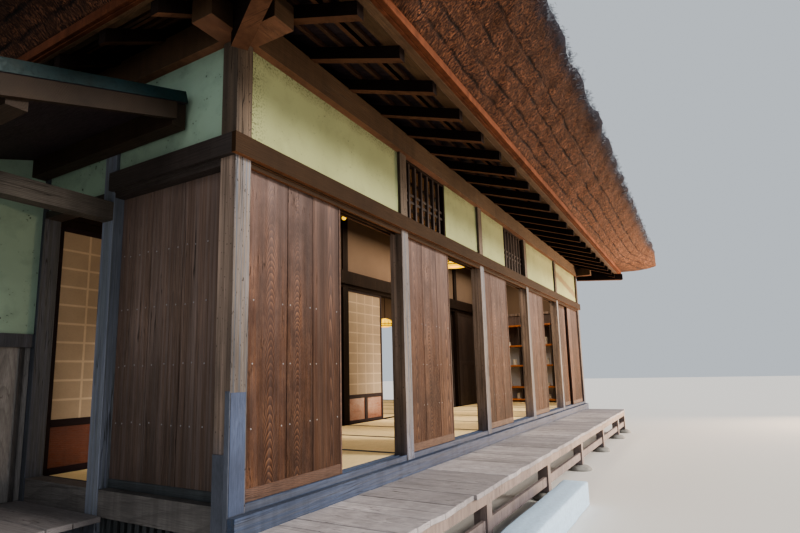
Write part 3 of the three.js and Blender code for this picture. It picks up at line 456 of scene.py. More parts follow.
def reed_material(name, light, dark):
    """Cut reed ends in dark layers on the eave's edge, with painted shade towards the top of the
    cut face, along its rim and over the lean-to, and weathered straw on the slopes.
    """
    finish = Finish(name, 0.92)
    place = finish.place
    layer = finish.attribute("layer")
    reed = finish.attribute("reed", "Vector")
    strand = reed.noise((125, 38, 60), 1.0, 0.5, 1.3)
    fine = reed.noise((290, 95, 160), 2.0, 0.8, 0.8)
    clumps = reed.noise((11, 8, 9), 4.0, 0.65)
    tone = mix(strand.ranged(0.40, 0.56), dark, light)
    tone = mix(fine.ranged(0.42, 0.62, 0.0, 0.8), tone, dim(dark, 0.8))
    tone = mix((strand - fine).ranged(0.06, 0.16, 0.0, 0.75), tone, dim(light, 2.4))
    tone = mix(clumps.ranged(0.36, 0.60, 0.75, 0.0), tone, dim(light, 0.32))
    wander = reed.noise((1.2, 0, 0), 5.0, 0.6) * 0.14 + clumps * 0.05 + layer
    stripe, *others = [abs(wander - (at + 0.095)).ranged(0.004, 0.020, 1.0, 0.0) for at in LAYERS]
    for line in others:
        stripe = stripe.math("MAXIMUM", line)
    stripe *= reed.noise((4, 15, 1), 3.0, 0.7).ranged(0.38, 0.56, 0.1, 0.95)
    tone = mix(stripe, tone, dim(dark, 0.35))
    # Painted shade: darker towards the top of the cut face
    tone = shade(tone, layer.ranged(0.25, 0.95, 1.08, 0.66))
    # Painted shade: a dark blue-black rim at the top of the cut face, by the lip
    shade_at_top = mix(fine.ranged(0.4, 0.6), (0.030, 0.034, 0.060), (0.008, 0.009, 0.018))
    tone = mix((clumps * 0.3 + layer).ranged(0.94, 1.08, 0.0, 0.92), tone, shade_at_top)
    # Painted shade: the reed over the lean-to made darker
    tone = shade(tone, painted_eave_shade(place, 0.42))
    straw = reed.noise((60, 3, 1), 3.0, 0.7).ranged(0.35, 0.65)
    old = mix(straw, (0.07, 0.052, 0.036), (0.26, 0.20, 0.135))
    moss = place.noise(0.9, 5.0, 0.6).ranged(0.46, 0.66, 0.0, 0.55)
    old = mix(moss, old, (0.075, 0.085, 0.04))
    tone = mix(layer.ranged(1.03, 1.2), tone, old)
    return finish.close(tone, strand + fine * 0.5 + clumps * 0.8 - stripe * 0.5, 0.02)


def simple(name, base, rough, scale, spread=0.25, depth=0.001, metallic=0.0, second=None):
    """A mottled finish of two tones with a fine grain."""
    finish = Finish(name, rough, metallic)
    cloud = finish.place.noise(scale, 5.0, 0.65)
    speck = finish.place.noise(scale * 14, 2.0, 0.6)
    tone = mix(cloud.ranged(0.35, 0.65), base, dim(base, 1 - spread) if second is None else second)
    tone = mix(speck.ranged(0.55, 0.75, 0.0, 0.5), tone, dim(base, 1 - 2 * spread))
    roughness = speck.ranged(0.3, 0.7, rough - 0.1, min(rough + 0.1, 1.0))
    return finish.close(tone, speck * 0.4 + cloud, depth, roughness)


def mat_material(name, base):
    """Woven rush in fine ribs across the mat."""
    finish = Finish(name, 0.75)
    vector = finish.attribute("grain", "Vector")
    rib_width = 0.008
    rib = (vector.part("Z") * (2 * math.pi / rib_width)).math("SINE")
    rush = vector.noise((12, 12, 400), 3.0, 0.7)
    tone = mix(rush.ranged(0.3, 0.7), base, dim(base, 0.72))
    tone = mix(finish.place.noise(1.4).ranged(0.4, 0.7, 0.0, 0.4), tone, (0.45, 0.36, 0.22))
    return finish.close(tone, rib * 0.5 + rush, 0.0008)


def glowing(name, base, strength):
    """Lamp paper lit from inside."""
    finish = Finish(name)
    tone = mix(finish.place.noise(30, 4.0).ranged(0.35, 0.7), base, dim(base, 0.8))
    feed(tone, finish.inputs["Emission Color"])
    feed(strength, finish.inputs["Emission Strength"])
    return finish.close(tone)


M = {}


def make_materials():
    """Every finish, from the colours in the panel."""
    c = bpy.context.scene.farmhouse_colours
    GROUPS.update(timber=timber_group(), grime=grime_group())
    old_board = dict(rough=0.7, ring=0.010, figure=0.55, depth=0.003, checks=0.9, stain=0.3)
    graft = dict(ring=0.007, figure=0.35, depth=0.001, checks=0.2, stain=0.2)
    # Eave edge: painted shade over the lean-to
    eave_edge = dict(figure=0.6, rough=0.8, stain=0.6, shine=0.1, eave_shade=0.3)
    wing = dim(c.side_post, 0.4)
    M.update(
        # Shutter boards: painted shade, darker towards the bottom
        shutter=wood("Shutter boards", c.board_light, c.board_dark, ring=0.0052, figure=0.95,
                     taper=0.05, wobble=0.018, sharp=2.0, line=c.board_line, shine=0.12,
                     depth=0.005, checks=0.9, band=0.17, vary=(0.66, 1.26), grey=c.board_grey,
                     weathered=(1.25, 2.5), ground=0.6, streak=(0.32, dim(c.board_grey, 0.7)),
                     shade_below=(0.5, 1.7, 0.72)),
        # Side wall boards: painted shade, darker towards the bottom
        board=wood("Side wall boards", c.side_board, 0.16, ring=0.010, figure=0.5, taper=0.04,
                   wobble=0.03, sharp=1.6, depth=0.003, checks=0.9, band=0.12, grey=c.board_grey,
                   weathered=(1.9, 3.2), ground=0.4, streak=(0.26, (0.20, 0.185, 0.195)),
                   shade_below=(0.5, 1.6, 0.55)),
        frame=wood("Shutter frames", (0.10, 0.060, 0.048), c.board_dark, figure=0.55, taper=0.12,
                   wobble=0.03, line=dim(c.board_line, 0.8), grey=c.board_grey, ground=0.6),
        dado_frame=wood("Dado frame", (0.105, 0.098, 0.098), (0.03, 0.028, 0.028), figure=0.5),
        # Posts: painted light on the faces that look along X
        post=wood("Posts", c.post, 0.25, "z", ring=0.006, figure=0.7, depth=0.006, checks=1.0,
                  stain=0.6, pits=0.9, band=0.24, grey=dim(c.blue_grey, 1.6), ground=0.9,
                  streak=(0.9, (0.105, 0.13, 0.17)), side_face_light=(0.36, 0.262, 0.205),
                  high=(HEAD_TOP + 0.03, (0.105, 0.078, 0.058))),
        # Side posts: painted shade further in under the lean-to
        side_post=wood("Side posts", c.side_post, 0.35, "z", ring=0.006, figure=0.5, depth=0.004,
                       checks=0.9, streak=(0.6, (0.12, 0.13, 0.12)), deep=0.42),
        wing_post=wood("Lean-to posts", wing, 0.35, "z", ring=0.006, figure=0.5, depth=0.004,
                       checks=0.9, streak=(0.5, (0.05, 0.052, 0.054))),
        graft=wood("Grafts", (0.053, 0.073, 0.127), (0.025, 0.034, 0.062), **graft),
        graft_dark=wood("Old grafts", wing, 0.5, **graft),
        sill=wood("Sills", c.blue_grey, 0.35, "x", ring=0.008, figure=0.5, depth=0.002,
                  streak=(0.35, (0.10, 0.10, 0.105))),
        sill_y=wood("Side sills", (0.13, 0.122, 0.12), (0.04, 0.036, 0.036), "y", ring=0.008,
                    figure=0.5, depth=0.002, checks=0.5),
        # Head rail: painted light on its underside
        rail=wood("Head rail", c.rail, 0.45, "x", ring=0.008, figure=0.6, rough=0.6, shine=0.12,
                  depth=0.001, checks=0.15, stain=0.25, under=(0.20, 0.09, 0.045)),
        rail_y=wood("Side head rail", (0.054, 0.043, 0.040), (0.021, 0.017, 0.016), "y",
                    ring=0.008, figure=0.5, rough=0.5, depth=0.0008, checks=0.15, stain=0.25),
        # Wall plates: painted light on their undersides, and painted shade over the lean-to
        plate=wood("Wall plates", (0.108, 0.064, 0.036), (0.036, 0.021, 0.012), "x", ring=0.01,
                   figure=0.6, depth=0.002, checks=0.5, under=(0.20, 0.095, 0.055), eave_shade=0.5),
        # Rafters: painted light on their undersides
        rafter=wood("Rafters", c.rafter, 0.4, "y", figure=0.4, rough=0.85, shine=0.05, depth=0.001,
                    under=c.rafter_lit_underside),
        # Eave battens take a share of the rafters' painted underside light
        rafter_board=wood("Eave battens", dim(c.rafter_lit_underside, 0.8), 0.375, figure=0.4),
        # Eave boards: painted shade over the lean-to
        eave_board=wood("Eave boards", c.eave_board, 0.35, figure=0.6, ring=0.008, eave_shade=0.4),
        soffit=wood("Soffit boards", (0.060, 0.040, 0.048), (0.018, 0.012, 0.015), figure=0.5),
        fascia=wood("Eave edge", c.fascia, 0.35, "x", ring=0.007, depth=0.003, **eave_edge),
        fascia_board=wood("Eave edge boards", c.fascia, 0.35, **eave_edge),
        deck=wood("Deck boards", c.deck, 0.42, grey=dim(c.blue_grey, 1.6), **old_board),
        porch_deck=wood("Porch boards", dim(c.deck, 0.5), 0.4, **old_board),
        deck_frame=wood("Deck frame", (0.34, 0.265, 0.235), (0.12, 0.09, 0.08), "z", ring=0.008,
                        figure=0.5, depth=0.002, checks=0.7, grey=c.blue_grey, ground=0.35),
        dark=wood("Dark frames", (0.060, 0.042, 0.035), (0.016, 0.01, 0.009), figure=0.4,
                  rough=0.5),
        dark_z=wood("Dark posts", (0.022, 0.013, 0.009), (0.008, 0.005, 0.004), "z", figure=0.4,
                    rough=0.7, shine=0.08),
        dado=wood("Dado boards", (0.34, 0.325, 0.32), (0.10, 0.095, 0.095), figure=0.6),
        slat=wood("Skirting slats", (0.045, 0.052, 0.058), (0.016, 0.017, 0.019), figure=0.5),
        beam=wood("Porch beam", (0.100, 0.084, 0.070), (0.026, 0.021, 0.017), "x", ring=0.007,
                  depth=0.003, checks=0.8),
        beam_y=wood("Lean-to timbers", (0.044, 0.027, 0.017), (0.013, 0.008, 0.005), "y",
                    figure=0.6),
        ceiling=wood("Ceiling boards", (0.26, 0.16, 0.095), (0.08, 0.04, 0.024), "x", figure=0.6),
        screen_frame=wood("Screen frames", (0.016, 0.006, 0.009), (0.007, 0.003, 0.004),
                          figure=0.4, rough=0.5, shine=0.15),
        screen_board=wood("Screen boards", (0.17, 0.054, 0.030), (0.07, 0.020, 0.012), ring=0.014,
                          figure=0.6, taper=0.05, rough=0.28),
        lattice=wood("Screen lattice", (0.66, 0.57, 0.43), (0.50, 0.41, 0.29), figure=0.2,
                     checks=0),
        shelf=wood("Shelf boards", c.shelf, 0.4, figure=0.5, rough=0.45),
        gap=wood("Board gaps", (0.012, 0.008, 0.006), (0.005, 0.003, 0.002), figure=0.3),
        plaster=plaster("Lime plaster", c.plaster, dim(c.plaster, 0.55), slant=True),
        # Side plaster: green, partly as painted light, the green light under trees
        plaster_side=plaster("Green side plaster", (0.275, 0.375, 0.30), (0.09, 0.14, 0.11), 0.9),
        inner_plaster=plaster("Earth plaster", c.inner_plaster, dim(c.inner_plaster, 0.8), 0.1,
                              shade_at_top=0.0),
        reed=reed_material("Reed", c.reed, c.reed_dark),
        straw=simple("Loose reed", dim(c.reed, 1.5), 0.85, 9, 0.3, 0.0, second=dim(c.reed, 0.45)),
        # Painted light: the pale blue of the loose reeds on the lip stands for the sky's glint on
        # them
        straw_pale=simple("Sky glint on reed", (0.44, 0.48, 0.55), 0.85, 9, 0.3, 0.0,
                          second=(0.15, 0.16, 0.19)),
        bark=simple("Ridge bark", (0.16, 0.11, 0.07), 0.9, 11, 0.35, 0.01),
        bamboo=simple("Ridge poles", (0.38, 0.29, 0.14), 0.5, 5),
        paper=simple("Screen paper", c.paper, 0.9, 6, 0.1, 0.0004),
        # Painted light: paper over the bars, paler as the bars send light back through it
        paper_band=simple("Paper over the bars", dim(c.paper, 1.45), 0.9, 6, 0.1, 0.0004),
        mat=mat_material("Rush mats", c.mat),
        cloth=simple("Mat borders", (0.03, 0.032, 0.05), 0.85, 60, 0.3, 0.0004),
        copper=simple("Sheet copper", c.copper, 0.45, 5, 0.45, 0.0006, 0.2, (0.009, 0.019, 0.018)),
        stone=simple("Field stone", c.stone, 0.9, 12, 0.3, 0.006),
        granite=simple("Granite", c.granite, 0.88, 35, 0.16, 0.003),
        iron=simple("Nail iron", (0.30, 0.31, 0.34), 0.45, 60, 0.3, 0.0002, 0.6),
        lamp=glowing("Lamp paper", (0.95, 0.56, 0.035), 1.5),
        shelf_back=simple("Shelf lining", (0.62, 0.64, 0.68), 0.9, 4, 0.15, 0.0004),
        ware=simple("Plain ware", (0.55, 0.50, 0.42), 0.5, 10, 0.2, 0.0003),
    )


# Mesh helpers

ALONG = {"x": (1, 2, 0), "y": (0, 2, 1), "z": (0, 1, 2)}


def clamp(value, low=0.0, high=1.0):
    """The value, kept between two others."""
    return min(max(value, low), high)


def turned(angle, axis):
    """A turn about one axis."""
    return Matrix.Rotation(angle, 4, axis)


def moved(*place):
    """A move by X, Y and Z."""
    return Matrix.Translation(place)


def paint(verts, index):
    """Gives the faces round some vertices one of the piece's materials."""
    for face in {f for v in verts for f in v.link_faces}:
        face.material_index = index


def cube(bm, low, high):
    """A box between two corners."""
    made = bmesh.ops.create_cube(bm, size=1)["verts"]
    bmesh.ops.scale(bm, vec=Vector(high) - Vector(low), verts=made)
    bmesh.ops.translate(bm, vec=(Vector(low) + Vector(high)) / 2, verts=made)
    return made


def even(span, size, rng=None, spread=0.0):
    """Board widths that fill a span with boards of about one size."""
    count = max(1, round(span / size))
    return [1 + (rng.uniform(-spread, spread) if rng else 0) for _ in range(count)]


class Build:
    """A bmesh in the house frame whose boards carry grain and tone, and its random numbers."""

    def __init__(self, seed):
        self.bm = bmesh.new()
        self.bm.verts.layers.float_vector.new("grain")
        self.bm.verts.layers.float.new("tone")
        self.rng = seed if isinstance(seed, random.Random) else random.Random(seed)

    def block(self, low, high, along="z", bevel=0.002, material=0, turn=None):
        """One bevelled board or timber with its own grain."""
        low, high = Vector(low), Vector(high)
        made = cube(self.bm, low, high)
        if bevel:
            edges = list({e for v in made for e in v.link_edges})
            width = min(bevel, min(high - low) * 0.4)
            made = bmesh.ops.bevel(self.bm, geom=edges, offset=width, offset_type="OFFSET",
                                   segments=1, profile=0.5, affect="EDGES", material=-1)["verts"]
        self.stamp_grain(made, (low + high) / 2, along)
        paint(made, material)
        if turn is not None:
            bmesh.ops.transform(self.bm, matrix=turn, verts=made)

    def stamp_grain(self, verts, middle, along):
        """Gives vertices their place in a log whose heart lies a little off the board's middle."""
        rng = self.rng
        grain = self.bm.verts.layers.float_vector["grain"]
        tone = self.bm.verts.layers.float["tone"]
        heart = Vector((rng.uniform(-0.05, 0.05), rng.uniform(0.07, 0.19), rng.uniform(0, 6)))
        own_tone = rng.random()
        slope = rng.choice((0.6, 1.2, 2.4, 3.2))
        for v in verts:
            x, y, z = ((v.co - middle)[axis] for axis in ALONG[along])
            v[grain] = Vector((x, y, z * slope)) + heart
            v[tone] = own_tone

    def boards(self, low, high, along, across, widths, gap=0.003, bevel=0.002, wander=0.001):
        """Boards side by side across a panel, a little uneven in face."""
        a, g = "xyz".index(across), "xyz".index(along)
        d = 3 - a - g
        low, high = Vector(low), Vector(high)
        place = low[a]
        for width in widths:
            step = width / sum(widths) * (high[a] - low[a])
            lo, hi = low.copy(), high.copy()
            lo[a] = place + gap / 2
            hi[a] = place + step - gap / 2
            lo[d] += self.rng.uniform(0, wander)
            hi[d] -= self.rng.uniform(0, wander)
            # Two more draws, so that the boards after this one keep theirs
            for _ in range(2):
                self.rng.random()
            self.block(lo, hi, along, bevel)
            place += step

    def ball(self, place, size, detail=1, material=0):
        """A ball stretched to its half sizes along the axes."""
        made = bmesh.ops.create_icosphere(self.bm, subdivisions=detail, radius=1)["verts"]
        matrix = Matrix.Translation(place) @ Matrix.Diagonal((*size, 1))
        bmesh.ops.transform(self.bm, matrix=matrix, verts=made)
        paint(made, material)
        return made

    def cone(self, segments, radius, depth, matrix, tip=None, material=0):
        """A rod, or a cone where the tip has its own radius, along its matrix's Z."""
        made = bmesh.ops.create_cone(self.bm, cap_ends=True, segments=segments, radius1=radius,
                                     radius2=radius if tip is None else tip, depth=depth)["verts"]
        bmesh.ops.transform(self.bm, matrix=matrix, verts=made)
        paint(made, material)

    def spin(self, outline):
        """A closed outline of radius and height, spun round Z."""
        verts = [self.bm.verts.new((radius, 0, z)) for radius, z in outline]
        edges = [self.bm.edges.new(pair) for pair in zip(verts, verts[1:] + verts[:1])]
        bmesh.ops.spin(self.bm, geom=verts + edges, cent=(0, 0, 0), axis=(0, 0, 1), dvec=(0, 0, 0),
                       angle=2 * math.pi, steps=32, use_merge=True)

    def transform(self, matrix):
        """Moves everything built so far."""
        bmesh.ops.transform(self.bm, matrix=matrix, verts=self.bm.verts)

    def take(self, bm):
        """Adds another bmesh and frees it."""
        mesh = bpy.data.meshes.new("part")
        bm.to_mesh(mesh)
        bm.free()
        self.bm.from_mesh(mesh)
        bpy.data.meshes.remove(mesh)

    def piece(self, name, materials, slot, body="house", replaces=(), bevel=0.0, smooth=False):
        """Turns the bmesh into a finished piece that rides on its body."""
        bmesh.ops.recalc_face_normals(self.bm, faces=self.bm.faces)
        bmesh.ops.translate(self.bm, vec=ORIGIN, verts=self.bm.verts)
        mesh = bpy.data.meshes.new(name)
        self.bm.to_mesh(mesh)
        self.bm.free()
        for key in materials:
            mesh.materials.append(M[key])
        made = bpy.data.objects.new(name, mesh)
        bpy.context.scene.collection.objects.link(made)
        if smooth:
            mesh.shade_smooth()
        if bevel:
            round_edges(made, bevel)
        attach(made, body)
        if replaces:
            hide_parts(*replaces)


def round_edges(made, width):
    """Rounds sharp edges with live modifiers."""
    weld = made.modifiers.new("Joined", "WELD")
    weld.merge_threshold = 0.00005
    edge = made.modifiers.new("Worn edges", "BEVEL")
    edge.width = width
    edge.segments = 1
    edge.limit_method = "ANGLE"
    edge.angle_limit = math.radians(40)
    edge.use_clamp_overlap = True


# Shutters and wall boards

NAIL_ROWS = [0.59, 0.906, 1.245, 1.59, 1.93]
LEFT_BATTENS = (0.92, 1.25, 1.59, 1.93, 2.24)
LEFT_NAIL_ROWS = (0.925, 1.255, 1.592, 1.93)
LEFT_NAIL_PLACES = (0.16, 0.27, 0.37, 0.44, 0.52, 0.60, 0.71, 0.79, 0.87, 0.96, 1.02)
SHUTTER_BOARDS = {
    "shutter_1": [0.330, 0.252, 0.293],
    "shutter_2": [0.29, 0.31, 0.275],
    "shutter_3": [0.26, 0.33, 0.285],
    "shutter_4": [0.31, 0.25, 0.315],
    "shutter_5": [0.29, 0.30, 0.285],
    "shutter_6": [0.30, 0.28, 0.295],
}


class FARMHOUSE_OT_shutters(bpy.types.Operator):
    """Sliding board shutters with stiles, a bottom rail, back battens and nails"""
    bl_idname = "farmhouse.shutters"
    bl_label = "Shutters"

    def execute(self, context):
        sizes = context.scene.farmhouse_sizes
        for name, widths in SHUTTER_BOARDS.items():
            low, high = node_box(name)
            leaf = Build(name)
            x0, x1, rail = low.x + 0.024, high.x - 0.019, low.z + 0.036
            front, back = low.y, high.y
            face = front + 0.003
            behind, half_batten = face + 0.012, 0.022
            leaf.block(low, (x0, back, high.z), material=1)
            leaf.block((x1, front, low.z), high, material=1)
            leaf.block((x0, front + 0.001, low.z), (x1, back, rail + 0.035), "x", material=1)
            leaf.block((x0, behind, high.z - 0.05), (x1, back, high.z), "x", material=1)
            leaf.block((x0, behind - 0.003, rail), (x1, behind + 0.001, high.z - 0.003), "z",
                       0.001, 3)
            leaf.boards((x0, face, rail + 0.02), (x1, behind, high.z - 0.002), "z", "x", widths,
                        sizes.board_gap)
            for z in NAIL_ROWS[1:] + [NAIL_ROWS[0] + 0.03]:
                leaf.block((low.x + 0.01, behind, z - half_batten),
                           (high.x - 0.01, back, z + half_batten), "x", material=1)
            self.nails(leaf, x0, x1, widths, face, sizes.nail_head / 2)
            leaf.piece("Boards_" + name, ["shutter", "frame", "iron", "gap"], "boards", name,
                       [name])
        return {"FINISHED"}

    def nails(self, leaf, x0, x1, widths, face, radius):
        """Two nails through each board into each back batten."""
        for z in NAIL_ROWS[:4]:
            place = x0
            for width in widths:
                step = width * (x1 - x0) / sum(widths)
                for part in (0.12, 0.88):
                    x = place + step * part + leaf.rng.uniform(-0.006, 0.006)
                    spot = (x, face, z + leaf.rng.uniform(-0.004, 0.004))
                    leaf.ball(spot, (radius, radius * 0.3, radius), material=2)
                place += step


class FARMHOUSE_OT_wall_boards(bpy.types.Operator):
    """Fixed board panels on the left, right and back walls, and the slatted skirting"""
    bl_idname = "farmhouse.wall_boards"
    bl_label = "Wall boards"

    def execute(self, context):
        sizes = context.scene.farmhouse_sizes
        gap, radius = sizes.board_gap, sizes.nail_head / 2
        low, high = node_box("left_boards")
        x, y0, y1 = low.x, low.y, high.y
        wall = Build("left boards")
        wall.boards((x, y0, low.z + 0.05), (x + 0.014, y1, high.z), "z", "y", [0.36, 0.285, 0.30],
                    gap)
        wall.block((x - 0.004, y0, low.z), (x + 0.03, y1, low.z + 0.052), "y", material=1)
        wall.block((x + 0.011, y0, low.z + 0.03), (x + 0.016, y1, high.z), "z", 0.001, 3)
        for z in LEFT_BATTENS:
            wall.block((x + 0.014, y0, z - 0.025), (high.x, y1, z + 0.025), "y")
        for z in LEFT_NAIL_ROWS:
            for y in LEFT_NAIL_PLACES:
                wall.ball((x, y, z + wall.rng.uniform(-0.006, 0.006)),
                          (radius * 0.3, radius, radius), material=2)
        wall.piece("Boards_left_panel", ["board", "slat", "iron", "gap"], "boards",
                   replaces=["left_boards"])
        for name in ("right_boards_near", "right_boards_far", "back_boards"):
            self.panels(name, gap)
        slats = Build("slats")
        y, slat, pitch, end = POST + 0.02, 0.034, 0.064, 1.05
        while y < end:
            slats.block((0.03, y, 0.218), (0.058, y + slat, 0.402))
            y += pitch
        slats.piece("Skirting_slats", ["slat"], "sill")
        return {"FINISHED"}

    def panels(self, name, gap):
        """Vertical boards with three battens, in each stretch between posts."""
        low, high = node_box(name)
        wall = Build(name)
        along = "x" if name.startswith("back") else "y"
        run = "xy".index(along)
        for start, end in free_spans(run, low, high):
            a, b = low.copy(), high.copy()
            a[run], b[run] = start, end
            widths = even(end - start, 0.21, wall.rng, 0.15)
            wall.boards(a, b, "z", along, widths, gap, wander=0.003)
            a[1 - run], b[1 - run] = high[1 - run] - 0.002, high[1 - run] + 0.012
            for z in (low.z + 0.32, low.z + 0.9, low.z + 1.48):
                a.z, b.z = z, z + 0.04
                wall.block(a, b, along, material=1)
        wall.piece("Boards_" + name, ["board", "frame"], "boards", replaces=[name])


def free_spans(run, low, high):
    """The stretches between posts that a panel node covers, along X or Y."""
    places = ([BAY * i for i in range(BAYS + 1)], [0.0, *SIDE_POSTS, DEPTH - POST])[run]
    spans = [(max(left + POST, low[run]), min(right, high[run]))
             for left, right in zip(places[:-1], places[1:])]
    return [(start, end) for start, end in spans if end - start > 0.2]


class FARMHOUSE_OT_windows(bpy.types.Operator):
    """Upright bars and a pair of thin rails in the two windows of the plaster band"""
    bl_idname = "farmhouse.windows"
    bl_label = "Window bars"

    def execute(self, context):
        sizes = context.scene.farmhouse_sizes
        rim, half = 0.025, sizes.bar_width / 2
        for name in ("front_window_1", "front_window_2"):
            low, high = node_box(name)
            bars = Build(name)
            x0, x1 = low.x + rim, high.x - rim
            for i in range(sizes.bar_count):
                x = x0 + (x1 - x0) / (sizes.bar_count + 0.5) * (i + 0.75)
                bars.block((x - half, 0.034, low.z + 0.01), (x + half, 0.066, high.z - 0.01), "z",
                           0.003)
            middle = (low.z + high.z) / 2
            for z in (middle - 0.045, middle + 0.02):
                bars.block((x0 - 0.01, 0.044, z), (x1 + 0.01, 0.056, z + 0.024), "x")
            bars.piece("Bars_" + name, ["dark"], "dark_wood")
        return {"FINISHED"}


# Veranda and stones

class FARMHOUSE_OT_veranda(bpy.types.Operator):
    """Deck planks across the veranda with uneven ends, and plank floors in the lean-to"""
    bl_idname = "farmhouse.veranda"
    bl_label = "Veranda"

    def execute(self, context):
        low, high = node_box("veranda_deck")
        deck = Build("deck")
        plank_width, uneven = 0.15, 0.024
        widths = even(high.x - low.x, plank_width, deck.rng, 0.28)
        deck.boards(low, high, "y", "x", widths, 0.004, 0.003, 0.003)
        for v in deck.bm.verts:
            if v.co.y < low.y + 0.02:
                plank = math.floor(v.co.x / plank_width)
                v.co.y += uneven * noise.noise(Vector((plank * 3.7, 0, 0))) - 0.004
        deck.piece("Deck_planks", ["deck"], "deck", replaces=["veranda_deck"])
        low, high = node_box("porch_floor")
        floor = Build(deck.rng)
        widths = even(high.x - low.x, 0.16, floor.rng, 0.2)
        floor.boards(low, high, "y", "x", widths, 0.004, 0.003, 0.003)
        floor.piece("Porch_planks", ["porch_deck"], "deck", replaces=["porch_floor"])
        return {"FINISHED"}


def rough_stone(low, high, seed, cuts, amount):
    """A worked stone with soft arrises and an uneven face."""
    bm = bmesh.new()
    cube(bm, low, high)
    size = Vector(high) - Vector(low)
    arris = min(size) * 0.08
    bmesh.ops.bevel(bm, geom=bm.edges[:], offset=arris, offset_type="OFFSET", segments=2,
                    profile=0.5, affect="EDGES", material=-1)
    for axis in range(3):
        run = [e for e in bm.edges
               if abs((e.verts[0].co - e.verts[1].co)[axis]) > size[axis] * 0.5]
        times = max(1, round(size[axis] / max(size) * cuts))
        bmesh.ops.subdivide_edges(bm, edges=run, cuts=times, use_grid_fill=True)
    for v in bm.verts:
        if v.co.z > low[2] + 0.001:
            push = noise.noise_vector(v.co * 14 + Vector((seed, 0, 0))) * amount
            v.co += Vector((push.x, push.y, push.z * 0.6))
            v.co = Vector([clamp(*place) for place in zip(v.co, low, high)])
    return bm


class FARMHOUSE_OT_stones(bpy.types.Operator):
    """Kerb blocks, rounded stones under the legs and the long granite step"""
    bl_idname = "farmhouse.stones"
    bl_label = "Stones"

    def execute(self, context):
        low, high = node_box("step_stone")
        step = Build("step")
        step.take(rough_stone(low + Vector((0.005, 0.005, 0)),
                              high - Vector((0.005, 0.005, 0.004)), 3, 14, 0.006))
        step.piece("Step_stone", ["granite"], "granite", replaces=["step_stone"], smooth=True)
        stones = Build("legs")
        leg_low, leg_high = node_box("veranda_frame")
        half_leg = 0.0475
        for x in (0.0, 1.59, 3.21, 4.81, 6.41, 8.01, leg_high.x - 2 * half_leg):
            size = (stones.rng.uniform(0.135, 0.15), stones.rng.uniform(0.12, 0.145), 0.062)
            for v in stones.ball((x + half_leg, leg_low.y + half_leg, 0), size, 3):
                v.co += noise.noise_vector(v.co * 9) * 0.012
                v.co.z = clamp(v.co.z, 0.0, 0.061)
        bmesh.ops.dissolve_degenerate(stones.bm, dist=0.0004, edges=stones.bm.edges)
        stones.piece("Footing_stones", ["stone"], "stone", replaces=["veranda_stones"],
                     smooth=True)
        self.kerb()
        return {"FINISHED"}

    def kerb(self):
        """Rows of kerb stones along each wall and round the lean-to."""
        kerb = Build("kerb")
        wing_low, wing_high = node_box("wing_frame")
        inner, outer, wing_inner, top = 0.18, 0.018, 0.17, 0.0995
        stone_length, joint = 0.75, 0.002
        wing_x, wing_y, wing_far = wing_low.x - 0.028, wing_low.y - 0.028, wing_high.y + 0.028
        rows = [
            ("x", -outer, WIDTH + outer, -outer, inner),
            ("x", -outer, WIDTH + outer, DEPTH - inner, DEPTH + outer),
            ("y", inner, DEPTH - inner, -outer, inner),
            ("y", inner, DEPTH - inner, WIDTH - inner, WIDTH + outer),
            ("x", wing_x, -outer, wing_y, wing_y + wing_inner),
            ("x", wing_x, -outer, wing_far - wing_inner, wing_far),
            ("y", wing_y + wing_inner, wing_far - wing_inner, wing_x, wing_x + wing_inner),
        ]
        for along, start, end, near, far in rows:
            count = max(1, round((end - start) / stone_length))
            step = (end - start) / count
            for i in range(count):
                a, b = start + step * i + joint, start + step * (i + 1) - joint
                low = (a, near, 0) if along == "x" else (near, a, 0)
                high = (b, far, top) if along == "x" else (far, b, top)
                kerb.take(rough_stone(low, high, kerb.rng.uniform(0, 50), 3, 0.004))
        kerb.piece("Kerb_stones", ["stone"], "stone", replaces=["foundation_kerb"])


# Rooms

class FARMHOUSE_OT_mats(bpy.types.Operator):
    """Rush mats with dark cloth borders over the floor of both rooms"""
    bl_idname = "farmhouse.mats"
    bl_label = "Mats"

    def execute(self, context):
        mats = Build("mats")
        edge, thick, border, count = 0.001, 0.004, 0.03, 10
        top = node_box("floor")[1].z - 0.005
        back_start, back_end = DOOR_POST_Y + POST + 0.003, DEPTH - POST - 0.003
        third = (back_end - back_start) / 3
        rows = [(POST + 0.003, DOOR_POST_Y - 0.003)]
        rows += [(back_start + third * i, back_start + third * (i + 1)) for i in range(3)]
        start = POST + 0.003
        step = (WIDTH - 2 * start) / count
        for y0, y1 in rows:
            for i in range(count):
                x0, x1 = start + step * i + edge, start + step * (i + 1) - edge
                mats.block((x0, y0 + edge, top), (x1, y1 - edge, top + thick), "y", 0.001)
                for side in (x0, x1 - border):
                    mats.block((side, y0 + edge, top + thick - 0.001),
                               (side + border, y1 - edge, top + thick + 0.001), "y", 0.0005, 1)
        mats.piece("Floor_mats", ["mat", "cloth"], "mats")
        return {"FINISHED"}


